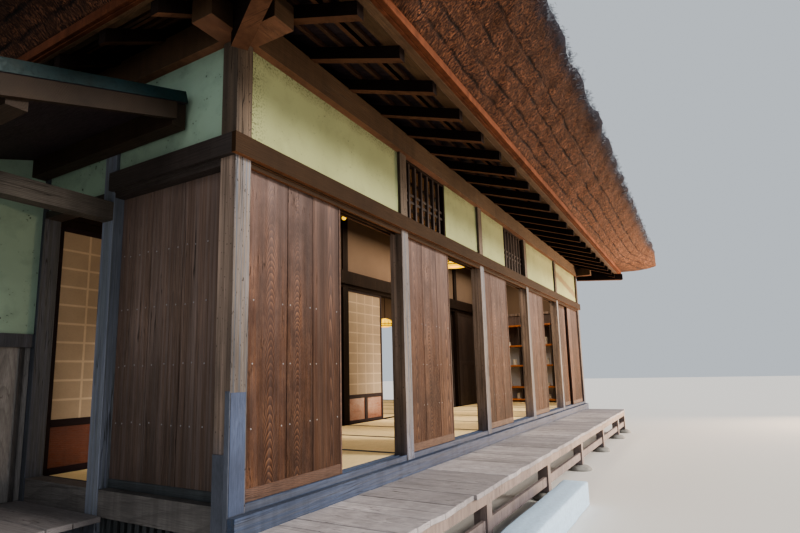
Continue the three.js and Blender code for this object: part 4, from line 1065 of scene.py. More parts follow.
class FARMHOUSE_OT_screens(bpy.types.Operator):
    """Paper screens and board doors between the rooms"""
    bl_idname = "farmhouse.screens"
    bl_label = "Screens"

    def execute(self, context):
        fixed = [f"fixed_leaf_{i}" for i in range(1, 7)]
        for name in ["shoji_1", "shoji_2"] + fixed[:3]:
            self.paper_leaf(name, "house" if name in fixed else name)
        for name in ["board_door"] + fixed[3:]:
            self.board_leaf(name, "house" if name in fixed else name)
        return {"FINISHED"}

    def framed(self, name, stile, rails):
        """A leaf's stiles and rails, each rail given by its lower and upper edge."""
        low, high = node_box(name)
        leaf = Build(name)
        for x in (low.x, high.x - stile):
            leaf.block((x, low.y, low.z), (x + stile, high.y, high.z))
        for z0, z1 in rails:
            leaf.block((low.x + stile, low.y + 0.001, z0), (high.x - stile, high.y - 0.001, z1),
                       "x")
        return leaf

    def paper_leaf(self, name, body):
        """Paper on a lattice, with pale bands of painted light where its bars are, over two boards
        in the foot.
        """
        low, high = node_box(name)
        stile, foot, top, half = 0.032, 0.91, high.z - 0.045, 0.034
        leaf = self.framed(name, stile, ((low.z, low.z + 0.05), (foot - 0.05, foot),
                                         (top, high.z)))
        x0, x1, front = low.x + stile, high.x - stile, low.y + 0.006
        middle = (low.x + high.x) / 2
        leaf.block((middle - half, low.y + 0.002, low.z + 0.04),
                   (middle + half, high.y - 0.002, foot - 0.04))
        for left, right in ((x0, middle - half), (middle + half, x1)):
            leaf.block((left - 0.004, low.y + 0.01, low.z + 0.045),
                       (right + 0.004, high.y - 0.012, foot - 0.045), "x", 0.001, 1)
        leaf.block((x0 - 0.004, front + 0.001, foot - 0.004),
                   (x1 + 0.004, front + 0.003, top + 0.004), "x", 0, 3)
        # The pale bands on the paper are painted light: the light the bars behind it send back
        bar, band = 0.004, 0.0075
        for i in range(1, 4):
            x = x0 + (x1 - x0) * i / 4
            leaf.block((x - bar, front + 0.003, foot), (x + bar, front + 0.015, top),
                       "z", 0.001, 2)
            leaf.block((x - band, front + 0.0004, foot), (x + band, front + 0.0011, top),
                       "z", 0, 4)
        for i in range(1, 10):
            z = foot + (top - foot) * i / 10
            leaf.block((x0, front + 0.0035, z - bar), (x1, front + 0.015, z + bar), "x", 0.001, 2)
            leaf.block((x0, front + 0.0005, z - band), (x1, front + 0.0012, z + band), "x", 0, 4)
        leaf.piece("Screen_" + name,
                   ["screen_frame", "screen_board", "lattice", "paper", "paper_band"],
                   "paper", body, [name])

    def board_leaf(self, name, body):
        """Dark frame with a middle rail over upright boards."""
        low, high = node_box(name)
        stile = 0.05
        rails = (low.z, low.z + 0.07), (1.31, 1.37), (high.z - 0.06, high.z)
        leaf = self.framed(name, stile, rails)
        leaf.boards((low.x + stile - 0.003, low.y + 0.009, low.z + 0.06),
                    (high.x - stile + 0.003, high.y - 0.009, high.z - 0.05), "z", "x",
                    even(0.76, 0.19), 0.002)
        leaf.piece("Door_" + name, ["dark"], "dark_wood", body, [name])


LAMPS = {
    "pendant_lamp_1": [(0.08, 0.0), (0.2, 0.012), (0.215, 0.05), (0.19, 0.09), (0.07, 0.145)],
    "pendant_lamp_2": [(0.10, 0.0), (0.15, 0.02), (0.157, 0.06), (0.13, 0.14), (0.05, 0.175)],
}


class FARMHOUSE_OT_rooms(bpy.types.Operator):
    """Ceiling battens, the display shelf with plain wares and the lamps"""
    bl_idname = "farmhouse.rooms"
    bl_label = "Rooms"

    def execute(self, context):
        low, high = node_box("ceiling")
        battens = Build("rooms")
        count = 16
        for i in range(1, count):
            y = low.y + (high.y - low.y) * i / count
            if abs(y - DOOR_POST_Y - POST / 2) >= 0.1:
                battens.block((low.x + 0.01, y - 0.014, low.z - 0.03),
                              (high.x - 0.01, y + 0.014, low.z), "x")
        battens.piece("Ceiling_battens", ["dark"], "ceiling_boards")
        self.shelf(battens.rng)
        self.small_light()
        for name, profile in LAMPS.items():
            self.pendant(name, profile)
        return {"FINISHED"}

    def shelf(self, rng):
        """Orange shelf boards in a dark frame with a pale back, and plain jars on them."""
        low, high = node_box("display_shelf")
        middle = (low.y + high.y) / 2
        shelf = Build(rng)
        levels, thick = [0.575, 0.82, 1.245, 1.645, 2.055], 0.035
        for z in levels:
            shelf.block((low.x, low.y, z), (high.x, high.y, z + thick), "y", 0.003)
        for y in (low.y, middle - 0.015, high.y - 0.03):
            shelf.block((low.x + 0.004, y, low.z), (high.x, y + 0.03, high.z), "z", 0.003, 2)
        shelf.block((high.x - 0.012, low.y + 0.004, levels[0]),
                    (high.x - 0.002, high.y - 0.004, 1.66), "y", 0, 3)
        for z in levels[:-1]:
            y = low.y + 0.08
            while y < high.y - 0.2:
                width = rng.uniform(0.06, 0.14)
                if abs(y + width / 2 - middle) > width / 2 + 0.03:
                    tall = rng.uniform(0.07, 0.15)
                    place = moved(low.x + 0.13, y + width / 2, z + thick + tall / 2)
                    shelf.cone(14, width * 0.36, tall, place, width * 0.28, 1)
                y += width + rng.uniform(0.05, 0.12)
        shelf.piece("Shelf", ["shelf", "ware", "dark", "shelf_back"], "shelf",
                    replaces=["display_shelf"])

    def small_light(self):
        """The little lamp under the ceiling that shows at the head of the first opening."""
        lamp = Build("small light")
        place = Vector((3.476, 1.735, 3.15))
        lamp.ball(place, (0.03, 0.03, 0.03), 2)
        lamp.cone(16, 0.036, 0.09, moved(*place) @ moved(0, 0, 0.06), 0.012, 1)
        lamp.piece("Ceiling_light", ["lamp", "dark_z"], "lamp")

    def pendant(self, name, profile):
        """A paper shade spun from its profile, with bars, hoops and ribs, on its rod."""
        low, high = node_box(name)
        lamp = Build(name)
        wall, rib, bar_radius, rod_radius, bars = 0.006, 0.003, 0.0045, 0.006, 12
        inner = [(profile[0][0] - wall, profile[0][1] + 0.004)]
        inner += [(radius - wall, z) for radius, z in profile[1:]]
        lamp.spin(profile + inner[::-1])
        bmesh.ops.remove_doubles(lamp.bm, verts=lamp.bm.verts, dist=0.0002)
        paper = set(lamp.bm.faces)
        neck, top = profile[-2]
        for i in range(8):
            out = turned(math.pi / 4 * i, "Z") @ moved(neck / 2, 0, top) @ turned(math.pi / 2, "Y")
            lamp.cone(6, rib, neck, out)
        for (r0, z0), (r1, z1) in zip(profile[1:-1], profile[2:]):
            bar = (moved((r0 + r1) / 2, 0, (z0 + z1) / 2)
                   @ turned(math.atan2(r1 - r0, z1 - z0), "Y"))
            for i in range(bars):
                lamp.cone(5, bar_radius, math.hypot(r1 - r0, z1 - z0) + 0.003,
                          turned(2 * math.pi * i / bars, "Z") @ bar)
        corners = ((0.005, -0.005), (0.005, 0.005), (-0.001, 0.005), (-0.001, -0.005))
        for radius, z in profile[1:3]:
            lamp.spin([(radius + out, z + up) for out, up in corners])
        rod = high.z - low.z - top
        lamp.cone(10, rod_radius, rod, moved(0, 0, top + rod / 2))
        for face in set(lamp.bm.faces) - paper:
            face.material_index = 1
        lamp.transform(moved((low.x + high.x) / 2, (low.y + high.y) / 2, low.z))
        lamp.piece("Lamp_" + name, ["lamp", "dark_z"], "lamp", replaces=[name], smooth=True)


# Frame, plaster and eaves

class FARMHOUSE_OT_frame(bpy.types.Operator):
    """Finishes of the CAD's own timber, plaster and floors, and the grafts on the corner post"""
    bl_idname = "farmhouse.frame"
    bl_label = "Timber frame"

    def execute(self, context):
        sizes = context.scene.farmhouse_sizes
        worn = sizes.edge_round
        finishes = {
            ("post", worn): "front_posts right_frame back_frame",
            ("side_post", worn): "left_posts",
            ("sill", worn): "front_sill",
            ("sill_y", worn): "left_sill",
            ("rail", 0.002): "front_lintel",
            ("rail_y", 0.002): "left_lintel",
            ("plate", worn): "wall_plates",
            ("rafter", 0.0): "eave_rafters",
            ("fascia", 0.002): "eave_fascia",
            ("plaster", 0.0): "front_plaster",
            ("plaster_side", 0.0): "left_plaster right_plaster back_plaster wing_plaster",
            ("inner_plaster", 0.0): "partition_plaster left_inner_wall",
            ("wing_post", worn): "wing_frame",
            ("beam_y", worn): "lean_to_frame",
            ("beam", 0.004): "porch_beam",
            ("deck_frame", 0.004): "veranda_frame",
            ("dark_z", 0.0): "floor",
            ("dark_z", 0.002): "partition_frame front_window_1 front_window_2",
            ("ceiling", 0.0): "ceiling",
        }
        for (key, edge), names in finishes.items():
            for name in names.split():
                node = NODES[name]
                node.data.materials.clear()
                node.data.materials.append(M[key])
                if edge:
                    round_edges(node, edge)
        grafts = Build("grafts")
        grafts.block((0.003, -0.003, 0.512), (0.104, 0.004, 1.10), "z", 0.001)
        grafts.block((-0.003, 0.001, 0.40), (0.003, 0.034, 1.108), "z", 0.001, 1)
        grafts.block((-0.004, 0.034, 0.40), (0.003, 0.112, 0.80), "z", 0.001, 1)
        grafts.piece("Post_grafts", ["graft", "graft_dark"], "sill")
        return {"FINISHED"}


# Each side's corner, turn and length: places on it have X along the wall and Y inwards
SIDES = {
    "front": ((0, 0, 0), 0, WIDTH),
    "right": ((WIDTH, 0, 0), math.pi / 2, DEPTH),
    "back": ((WIDTH, DEPTH, 0), math.pi, WIDTH),
    "left": ((0, DEPTH, 0), -math.pi / 2, DEPTH),
}
LONG_SIDES = ("front", "back")


def eave_shear(out):
    """Lifts a flat piece onto an eave's rafters: Y 0 is the wall's face, and it falls away."""
    shear = Matrix.Identity(4)
    shear[2][1] = (PLATE_TOP - TIP_BOTTOM) / out
    return moved(0, 0, PLATE_TOP + RAFTER_HEIGHT) @ shear


def clip_to_hips(bm, length, share, gap):
    """Cuts pieces on one side of the roof back to the two hip lines."""
    for x, way in ((0, 1), (length, -1)):
        normal = Vector((-way, share, 0)).normalized()
        cut = bmesh.ops.bisect_plane(bm, geom=bm.verts[:] + bm.edges[:] + bm.faces[:], dist=1e-5,
                                     plane_co=Vector((x, 0, 0)) - normal * gap, plane_no=normal,
                                     clear_outer=True)["geom_cut"]
        rim = [e for e in cut if isinstance(e, bmesh.types.BMEdge)]
        if rim:
            bmesh.ops.holes_fill(bm, edges=rim, sides=0)


class FARMHOUSE_OT_eaves(bpy.types.Operator):
    """Soffit boards, battens and eave boards on the rafters of all four sides"""
    bl_idname = "farmhouse.eaves"
    bl_label = "Eaves"

    def execute(self, context):
        whole = [Build(key) for key in ("boards", "battens", "edge")]
        for side, (corner, turn, length) in SIDES.items():
            share = 1.0 if side in LONG_SIDES else SIDE_SHARE
            shear = eave_shear(EAVE_FRONT * share)
            rng = random.Random("eave " + side)
            soffit = Build(rng)
            soffit.boards((-0.5, -0.58 * share, 0.0305), (length + 0.5, 0.118 * share, 0.0445),
                          "y", "x", even(length + 1.0, 0.17, rng, 0.15), 0.004, 0.0015)
            battens = Build(rng)
            for out in (0.13, 0.28, 0.50):
                y = -out * share
                battens.block((-0.5, y - 0.017, 0.0005), (length + 0.5, y + 0.017, 0.03), "x",
                              0.001)
            edge = Build(rng)
            tip, outer, inner = 0.69 * share, 0.765 * share, 0.58 * share
            edge.block((-0.7, -tip, 0.001), (length + 0.7, -inner, 0.018), "x")
            edge.transform(shear)
            low, end, seam = TIP_BOTTOM + RAFTER_HEIGHT, length + 0.7, outer - 0.022
            edge.block((-0.7, -seam, low + 0.001), (end, -tip - 0.001, low + 0.045), "x")
            edge.block((-0.7, -outer, low + 0.001), (end, -seam, low + 0.045), "x", material=1)
            edge.block((-0.7, -outer + 0.002, low + 0.046), (end, -inner, low + 0.062), "x")
            place = Matrix.Translation(corner) @ turned(turn, "Z")
            hip = SIDE_SHARE if side in LONG_SIDES else 1 / SIDE_SHARE
            parts = ((soffit, 0.002, place @ shear), (battens, 0.03, place @ shear),
                     (edge, 0.001, place))
            for group, (part, gap, matrix) in zip(whole, parts):
                clip_to_hips(part.bm, length, hip, gap)
                part.transform(matrix)
                group.take(part.bm)
        soffits, battens, edges = whole
        soffits.piece("Soffit_boards", ["soffit"], "soffit", replaces=["eave_soffit"])
        battens.piece("Eave_battens", ["rafter_board"], "rafters")
        edges.piece("Eave_boards", ["eave_board", "fascia_board"], "soffit")
        return {"FINISHED"}


# Thatch: half widths beyond the posts at the front and at the sides, height and corner radius

THATCH_A = (0.795, 0.795 * SIDE_SHARE, 3.1255, 0.03)
THATCH_B = (1.42, 1.10, 3.56, 0.32)
RIDGE_Z = 8.185
RIDGE_START = 2.92
THATCH_TOP = (0.12 - DEPTH / 2, -RIDGE_START, RIDGE_Z - 0.11, 0.05)
CORNER_RUN = 1.2
CORNER_LOW = 0.287
MIDDLE = Vector((WIDTH / 2, DEPTH / 2, 0))
SECTION_CUTS = 250
# Noise scales of the roof's lumps and their heights
LUMPS = ((1.1, 0.022), (5, 0.016), (23, 0.009))
# Loose reeds: reeds in a tuft, kinds of tuft, share on the lip, the eave's length past the posts
TUFT_REEDS = 11
TUFT_KINDS = 8
LIP_SHARE = 0.62
EAVE_MORE = 2.4


def between(a, b, t, push=0.0):
    """A station part of the way from one to another, pushed outwards or in."""
    front, side, z, radius = (p + (q - p) * t for p, q in zip(a, b))
    return front + push, side + push, z, radius


def thatch_profile():
    """Stations from the ridge down the slope, round the lip, up the cut face and inwards."""
    stations = []
    rows = 26
    for i in range(rows):
        t = (i / rows) ** 0.85
        stations.append(between(THATCH_TOP, THATCH_B, t, 0.05 * math.sin(math.pi * t)))
    for t, push in ((0.975, 0.0), (0.988, -0.004), (0.997, -0.016)):
        stations.append(between(THATCH_TOP, THATCH_B, t, push))
    for t, push in ((0.02, -0.018), (0.06, 0.0), (0.10, 0.008)):
        stations.append(between(THATCH_B, THATCH_A, t, push))
    rows = 15
    for t in [0.14 + 0.76 * i / rows for i in range(rows + 1)] + [0.925, 0.95, 0.97, 0.985, 1.0]:
        stations.append(between(THATCH_B, THATCH_A, t, 0.02 * math.sin(math.pi * t)))
    for out in (0.58, -0.12):
        rise = (PLATE_TOP - TIP_BOTTOM) / EAVE_FRONT * (EAVE_FRONT - out)
        stations.append((out, out * SIDE_SHARE, TIP_BOTTOM + RAFTER_HEIGHT + 0.047 + rise, 0.03))
    return stations


class FARMHOUSE_OT_thatch(bpy.types.Operator):
    """Reed roof with rounded hips, a layered cut edge and loose reeds"""
    bl_idname = "farmhouse.thatch"
    bl_label = "Thatch"

    def execute(self, context):
        sizes = context.scene.farmhouse_sizes
        stations = thatch_profile()
        thatch = Build("thatch")
        bm = thatch.bm
        rings = [self.first_ring(bm, stations[0])]
        for before, after in zip(stations[:-1], stations[1:]):
            made = bmesh.ops.extrude_edge_only(bm, edges=rings[-1])["geom"]
            verts = {g for g in made if isinstance(g, bmesh.types.BMVert)}
            rings.append([g for g in made if isinstance(g, bmesh.types.BMEdge)
                          and set(g.verts) <= verts])
            for v in verts:
                self.move_on(v, before, after)
        straight = [e for ring in rings for e in ring if self.runs_straight(e)]
        bmesh.ops.holes_fill(bm, edges=rings[0] + rings[-1], sides=0)
        bmesh.ops.subdivide_edges(bm, edges=straight, cuts=SECTION_CUTS, use_grid_fill=False)
        bmesh.ops.recalc_face_normals(bm, faces=bm.faces)
        bm.normal_update()
        self.roughen(bm)
        thatch.piece("Thatch", ["reed"], "thatch", replaces=["thatch_roof"], smooth=True)
        self.loose_reeds(sizes)
        self.ridge()
        return {"FINISHED"}

    def first_ring(self, bm, station):
        """The small loop under the ridge cap: a circle with its quarters drawn to the corners."""
        front, side, z, radius = station
        verts = bmesh.ops.create_circle(bm, cap_ends=False, segments=24, radius=radius)["verts"]
        bmesh.ops.transform(bm, matrix=turned(math.pi / 24, "Z"), verts=verts)
        for v in verts:
            v.co.x += math.copysign(WIDTH / 2 + side - radius, v.co.x)
            v.co.y += math.copysign(DEPTH / 2 + front - radius, v.co.y)
        bmesh.ops.translate(bm, vec=MIDDLE + Vector((0, 0, z)), verts=verts)
        return bm.edges[:]

    def move_on(self, v, before, after):
        """Carries a vertex from one station to the next, with its new corner radius."""
        for axis, old, new in ((0, before[1], after[1]), (1, before[0], after[0])):
            half = MIDDLE[axis]
            local = v.co[axis] - half
            arc = (local - math.copysign(half + old - before[3], local)) * after[3] / before[3]
            v.co[axis] = half + math.copysign(half + new - after[3], local) + arc
        v.co.z = after[2]

    def runs_straight(self, edge):
        """Whether an edge of a loop is one of its four straight stretches."""
        a, b = (v.co - MIDDLE for v in edge.verts)
        return a.x * b.x < 0 or a.y * b.y < 0

    def roughen(self, bm):
        """Uneven reed ends on the cut face, shallow layers in it, and soft lumps on the slopes."""
        layer = bm.verts.layers.float.new("layer")
        reed = bm.verts.layers.float_vector.new("reed")
        for v in bm.verts:
            t = (v.co.z - THATCH_A[2]) / (THATCH_B[2] - THATCH_A[2])
            v[layer] = max(t, 0.0)
            v[reed] = self.reed_place(v.co, t)
            if not self.outside(v.co):
                continue
            run = v[reed].x
            lump = sum(noise.noise(v.co * scale) * share for scale, share in LUMPS)
            if t < 1.02:
                wander = t + 0.07 * noise.noise(Vector((run * 1.2, 0, 0)))
                away = min(abs(wander - at) for at in LAYERS)
                notch = noise.noise(Vector((run * 6, t * 9, 3)))
                lump -= 0.007 * max(0.0, 1 - away / 0.03) * clamp(0.6 + 1.6 * notch)
                lump *= clamp((t - 0.02) * 8)
            if t > 0.8:
                step = noise.noise(Vector((run * 2.6, 7, 0)))
                lump += 0.022 * clamp(step * 3, -1.0) * max(0.0, 1 - abs(t - 1) / 0.2)
            v.co += v.normal * lump + self.flare(v.co, t)

    def flare(self, co, t):
        """How far the cut face stands out near a corner, where its foot is drawn up to the lip."""
        if not 0 < t < 1:
            return Vector()
        front, side, _, _ = between(THATCH_A, THATCH_B, t)
        away_x = WIDTH / 2 + side - abs(co.x - WIDTH / 2)
        away_y = DEPTH / 2 + front - abs(co.y - DEPTH / 2)
        near = clamp(1 - max(away_x, away_y) / CORNER_RUN)
        full = 0.97 * (t / CORNER_LOW) ** 0.45
        if t >= CORNER_LOW:
            full = 0.97 + 0.03 * (t - CORNER_LOW) / (1 - CORNER_LOW)
        more = near * near * (3 - 2 * near) * (full - t)
        return Vector((math.copysign(more * (THATCH_B[1] - THATCH_A[1]), co.x - WIDTH / 2),
                       math.copysign(more * (THATCH_B[0] - THATCH_A[0]), co.y - DEPTH / 2), 0))

    def reed_place(self, co, t):
        """Distance round the eave and up the cut face or the slope."""
        front, side, _, radius = between(THATCH_A, THATCH_B, clamp(t))
        out_x, out_y = abs(co.x - WIDTH / 2) - WIDTH / 2, abs(co.y - DEPTH / 2) - DEPTH / 2
        across_x, across_y = out_x - side + radius, out_y - front + radius
        if t > 1:
            across_x = (out_x + RIDGE_START) / (THATCH_B[1] + RIDGE_START)
            across_y = (out_y + DEPTH / 2) / (DEPTH / 2 + THATCH_B[0])
        turn = THATCH_B[0] + THATCH_B[1]
        if across_y >= across_x:
            run = co.x if co.y < DEPTH / 2 else 2 * WIDTH + DEPTH + 2 * turn - co.x
        else:
            run = WIDTH + turn + co.y
            if co.x <= WIDTH / 2:
                run = 2 * (WIDTH + DEPTH) + 3 * turn - co.y
        return Vector((run, co.z * 1.6, 0))

    def outside(self, co):
        """Whether a point is on the slope or the cut face, and not under the boards."""
        out_front = max(-co.y, co.y - DEPTH)
        out_side = max(-co.x, co.x - WIDTH)
        return max(out_front - THATCH_A[0], out_side - THATCH_A[1]) > 0.004 or co.z > 3.6

    def tuft(self, rng, length):
        """A small bundle of loose reeds pointing along Z."""
        tuft = Build(rng)
        for _ in range(TUFT_REEDS):
            size = length * rng.uniform(0.35, 1.0)
            radius = rng.uniform(0.002, 0.004)
            lean = turned(rng.gauss(0, 0.3), "X") @ turned(rng.gauss(0, 0.3), "Y")
            spot = moved(rng.uniform(-0.07, 0.07), rng.uniform(-0.03, 0.03), 0)
            tuft.cone(3, radius, size, spot @ lean @ moved(0, 0, size / 2 - 0.012), 0)
        mesh = bpy.data.meshes.new("tuft")
        tuft.bm.to_mesh(mesh)
        tuft.bm.free()
        return mesh

    def loose_reeds(self, sizes):
        """Tufts along the lip and scattered over the cut face of each side."""
        reeds = Build("reeds")
        rng = reeds.rng
        tufts = [self.tuft(rng, sizes.reed_length) for _ in range(TUFT_KINDS)]
        total = sum(length + EAVE_MORE for _, _, length in SIDES.values())
        for side, (corner, turn, length) in SIDES.items():
            own = 0 if side in LONG_SIDES else 1
            a, b = (Vector((0, -station[own], station[2])) for station in (THATCH_A, THATCH_B))
            face = (b - a).normalized()
            normal = Vector((0, -face.z, face.y))
            place = Matrix.Translation(corner) @ turned(turn, "Z")
            for _ in range(round(sizes.tuft_count * (length + EAVE_MORE) / total)):
                lip = rng.random() < LIP_SHARE
                t = 1.0 - abs(rng.gauss(0, 0.025)) if lip else rng.uniform(0.03, 0.9)
                spot = a + (b - a) * t
                limit = (THATCH_B[1 - own] - 0.16) * (0.45 + 0.5 * t)
                spot.x = rng.uniform(-limit, length + limit)
                up_face = rng.uniform(0.2, 1.6) if lip else rng.uniform(-0.4, 0.9)
                aim = (normal + face * up_face + Vector((rng.gauss(0, 0.25), 0, 0))).normalized()
                size = rng.uniform(0.4, 0.85) if lip else rng.uniform(0.35, 0.6)
                mesh = rng.choice(tufts).copy()
                mesh.transform(place @ Matrix.Translation(spot - aim * 0.03)
                               @ aim.to_track_quat("Z", "X").to_matrix().to_4x4()
                               @ Matrix.Scale(size, 4))
                # Tufts on the lip take the reed with the painted sky glint
                if lip:
                    mesh.polygons.foreach_set("material_index", [1] * len(mesh.polygons))
                reeds.bm.from_mesh(mesh)
                bpy.data.meshes.remove(mesh)
        for mesh in tufts:
            bpy.data.meshes.remove(mesh)
        reeds.piece("Loose_reeds", ["straw", "straw_pale"], "thatch")

    def ridge(self):
        """Bark cap over the ridge, held by poles and straw rope."""
        low, high = node_box("ridge_cap")
        length, centre = high.x - low.x, (low + high) / 2
        slope = math.atan2(RIDGE_Z - THATCH_B[2], THATCH_B[0] + DEPTH / 2)
        run = 0.65 / math.cos(slope)
        bark = Build("ridge")
        count, lap = 14, 0.03
        for i in range(count):
            x0 = low.x + length / count * i
            x1 = low.x + length / count * (i + 1) + (lap if i < count - 1 else 0)
            for way in (1, -1):
                y0, y1 = (0.0, run) if way > 0 else (-run, 0.0)
                sheet = cube(bark.bm, (x0, y0, -0.15), (x1, y1, 0.0))
                drop = moved(0, centre.y, high.z - 0.062 - bark.rng.uniform(0, 0.012))
                bmesh.ops.transform(bark.bm, matrix=drop @ turned(-slope * way, "X"), verts=sheet)
        bark.piece("Ridge_bark", ["bark"], "bark", replaces=["ridge_cap"], bevel=0.012)
        poles = Build("poles")
        lie, taper, pole, rope, top_pole = turned(math.pi / 2, "Y"), 0.92, 0.026, 0.014, 0.04
        for way in (1, -1):
            for down in (0.16, 0.36, 0.57):
                place = moved(centre.x, centre.y + way * down,
                              high.z - 0.03 - down * math.tan(slope))
                poles.cone(12, pole, length + 0.1, place @ lie, pole * taper)
            over = (turned(-slope * way, "X") @ moved(0, way * run / 2, 0)
                    @ turned(math.pi / 2, "X"))
            for i in range(7):
                top = moved(low.x + 0.25 + (length - 0.5) * i / 6, centre.y, high.z - 0.03)
                poles.cone(8, rope, run, top @ over)
        place = moved(centre.x, centre.y, high.z - 0.045)
        poles.cone(12, top_pole, length + 0.16, place @ lie, top_pole * taper)
        poles.piece("Ridge_poles", ["bamboo"], "bark")


# Lean-to

class FARMHOUSE_OT_lean_to(bpy.types.Operator):
    """Copper sheets on the lean-to roof, and the boards of its dado"""
    bl_idname = "farmhouse.lean_to"
    bl_label = "Lean-to"

    def execute(self, context):
        low, high = node_box("lean_to_roof")
        slope = math.atan(0.303)
        top = moved(0, 0, high.z) @ turned(-slope, "Y")
        run = (high.x - low.x) / math.cos(slope)
        roof = Build("copper")
        roof.block((-run + 0.012, low.y + 0.006, -0.066), (-0.028, high.y - 0.006, -0.006), "y",
                   turn=top)
        courses, sheet = 5, 0.62
        for row in range(courses):
            u0 = -run + row * run / courses
            u1 = min(-0.026, u0 + run / courses + 0.02)
            lift = 0.0035 if row % 2 else 0.0015
            y = low.y - (sheet / 2 if row % 2 else 0)
            while y < high.y:
                y0, y1 = max(y, low.y + 0.004), min(y + sheet - 0.004, high.y - 0.004)
                if y1 - y0 > 0.05:
                    roof.block((u0, y0, lift - 0.010), (u1, y1, lift - 0.002), "y", 0.0015, 1, top)
                y += sheet
        for y0 in (low.y + 0.0005, high.y - 0.0045):
            roof.block((-run + 0.002, y0, -0.064), (-0.03, y0 + 0.004, 0.0), "x", 0.001, 1, top)
        roof.block((-run, low.y + 0.003, -0.064), (-run + 0.004, high.y - 0.003, 0.0), "y", 0.001,
                   1, top)
        roof.piece("Copper_roof", ["soffit", "copper"], "copper", replaces=["lean_to_roof"])
        self.dado(roof.rng)
        return {"FINISHED"}

    def dado(self, rng):
        """Upright boards under the lean-to's plaster."""
        low, high = node_box("wing_dado")
        dado = Build(rng)
        x_in = node_box("wing_frame")[0].x + POST
        z0, z1 = low.z, high.z
        for y in (low.y, high.y - 0.024):
            dado.boards((x_in, y, z0), (-0.001, y + 0.02, z1), "z", "x", even(0.79, 0.26))
            for x in (-0.07, -0.36, -0.64):
                dado.block((x, y - 0.008, z0), (x + 0.03, y + 0.001, z1), material=1)
        for left, right in zip(SIDE_POSTS[:-1], SIDE_POSTS[1:]):
            y0 = left + POST
            dado.boards((low.x, y0, z0), (low.x + 0.02, right, z1), "z", "y", even(1.7, 0.24))
            for i in range(1, 4):
                y = y0 + (right - y0) * i / 4
                dado.block((low.x - 0.009, y - 0.015, z0), (low.x + 0.001, y + 0.015, z1),
                           material=1)
        dado.piece("Dado_boards", ["dado", "dado_frame"], "dark_wood", replaces=["wing_dado"])


# Stage

# The photograph's camera, solved from the building: place, axes and lens
CAMERA_PLACE = (-6.375, -5.744, 1.181)
CAMERA_YAW = 0.5257
CAMERA_PITCH = 0.1532
CAMERA_ROLL = -0.0223
CAMERA_LENS = 23.80
SHIFT_X = 0.0139
SHIFT_Y = 0.0308
WARM = (1.0, 0.86, 0.68)


def add_object(name, data):
    """Puts an object in the scene."""
    made = bpy.data.objects.new(name, data)
    bpy.context.scene.collection.objects.link(made)
    return made


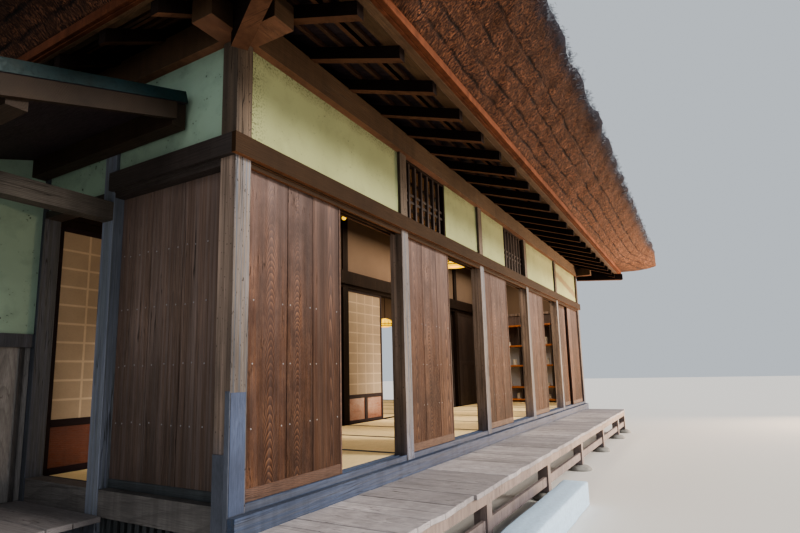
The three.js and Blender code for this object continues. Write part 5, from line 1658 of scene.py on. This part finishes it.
class FARMHOUSE_OT_stage(bpy.types.Operator):
    """Pale floor, soft light and the camera at the photograph's place"""
    bl_idname = "farmhouse.stage"
    bl_label = "Stage"

    def execute(self, context):
        self.camera()
        bm = bmesh.new()
        bmesh.ops.create_grid(bm, x_segments=1, y_segments=1, size=60)
        bmesh.ops.translate(bm, vec=(0, 0, -0.001), verts=bm.verts)
        mesh = bpy.data.meshes.new("Stage_floor")
        bm.to_mesh(mesh)
        bm.free()
        mesh.materials.append(Finish("Stage", 0.95).close((0.72, 0.70, 0.67, 1)))
        add_object("Stage_floor", mesh)
        scene = bpy.context.scene
        scene.view_settings.look = "AgX - Medium High Contrast"
        scene.world = bpy.data.worlds.new("Soft sky")
        scene.world.use_nodes = True
        sky = scene.world.node_tree.nodes["Background"].inputs
        sky["Color"].default_value = (0.86, 0.93, 1.0, 1)
        sky["Strength"].default_value = 0.60
        self.sun("Front light", (0.22, -0.84, 0.42), 4.2, (1.0, 0.93, 0.84), 20)
        self.sun("Side light", (-0.75, -0.45, 0.45), 0.4, (1.0, 0.90, 0.78), 30)
        self.panel("Room light", (4.6, 4.6, 3.1), (4.6, 4.6, 0), (8.0, 4.5), 190, WARM)
        self.panel("Front room light", (5.7, 1.0, 3.1), (5.7, 1.0, 0), (5.6, 1.2), 100, WARM)
        self.panel("Yard light", (13.0, -5.5, 0.6), (8.4, -0.9, 3.5), (3.0, 1.0), 430,
                   (1.0, 0.70, 0.44), 95)
        return {"FINISHED"}

    def panel(self, name, place, aim, size, power, tint, spread=180):
        """A wide soft lamp in the house frame, not itself seen."""
        light = bpy.data.lights.new(name, "AREA")
        light.shape = "RECTANGLE"
        light.size, light.size_y = size
        light.energy = power
        light.color = tint
        light.spread = math.radians(spread)
        made = add_object(name, light)
        made.location = Vector(place) + ORIGIN
        made.rotation_euler = (Vector(place) - Vector(aim)).to_track_quat("Z", "Y").to_euler()
        made.visible_camera = False

    def sun(self, name, source, strength, tint, spread):
        """A wide sun that shines from a direction."""
        light = bpy.data.lights.new(name, "SUN")
        light.energy = strength
        light.color = tint
        light.angle = math.radians(spread)
        add_object(name, light).rotation_euler = Vector(source).to_track_quat("Z", "Y").to_euler()

    def camera(self):
        """The camera, from its yaw, pitch and roll."""
        level = Vector((math.cos(CAMERA_YAW), math.sin(CAMERA_YAW), 0)) * math.cos(CAMERA_PITCH)
        ahead = level + Vector((0, 0, math.sin(CAMERA_PITCH)))
        right = Vector((math.sin(CAMERA_YAW), -math.cos(CAMERA_YAW), 0))
        up = right.cross(ahead)
        cos, sin = math.cos(CAMERA_ROLL), math.sin(CAMERA_ROLL)
        turn = Matrix((right * cos + up * sin, up * cos - right * sin, -ahead)).transposed()
        lens = bpy.data.cameras.new("Photo camera")
        lens.lens = CAMERA_LENS
        lens.sensor_width = 36
        lens.sensor_fit = "HORIZONTAL"
        lens.shift_x = SHIFT_X
        lens.shift_y = SHIFT_Y
        lens.clip_end = 300
        made = add_object("Photo camera", lens)
        made.matrix_world = Matrix.Translation(CAMERA_PLACE) @ turn.to_4x4()
        bpy.context.scene.camera = made


class FARMHOUSE_PT_panel(bpy.types.Panel):
    """The farmhouse's pieces in the sidebar"""
    bl_idname = "FARMHOUSE_PT_panel"
    bl_label = "Farmhouse"
    bl_space_type = "VIEW_3D"
    bl_region_type = "UI"
    bl_category = "Farmhouse"

    def draw(self, context):
        for made in OPERATORS:
            self.layout.operator(made.bl_idname)
        for group in (context.scene.farmhouse_sizes, context.scene.farmhouse_colours):
            for name in group.bl_rna.properties.keys():
                if name not in ("rna_type", "name"):
                    self.layout.prop(group, name)


OPERATORS = (
    FARMHOUSE_OT_stage,
    FARMHOUSE_OT_frame,
    FARMHOUSE_OT_shutters,
    FARMHOUSE_OT_wall_boards,
    FARMHOUSE_OT_windows,
    FARMHOUSE_OT_veranda,
    FARMHOUSE_OT_stones,
    FARMHOUSE_OT_mats,
    FARMHOUSE_OT_screens,
    FARMHOUSE_OT_rooms,
    FARMHOUSE_OT_eaves,
    FARMHOUSE_OT_thatch,
    FARMHOUSE_OT_lean_to,
)
CLASSES = (FarmhouseSizes, FarmhouseColours, *OPERATORS, FARMHOUSE_PT_panel)


def register():
    for made in CLASSES:
        bpy.utils.register_class(made)
    bpy.types.Scene.farmhouse_sizes = PointerProperty(type=FarmhouseSizes)
    bpy.types.Scene.farmhouse_colours = PointerProperty(type=FarmhouseColours)


def unregister():
    del bpy.types.Scene.farmhouse_colours
    del bpy.types.Scene.farmhouse_sizes
    for made in reversed(CLASSES):
        bpy.utils.unregister_class(made)


def main():
    """Builds everything in order."""
    register()
    make_materials()
    for made in OPERATORS:
        group, name = made.bl_idname.split(".")
        getattr(getattr(bpy.ops, group), name)()


if __name__ == "__main__":
    main()
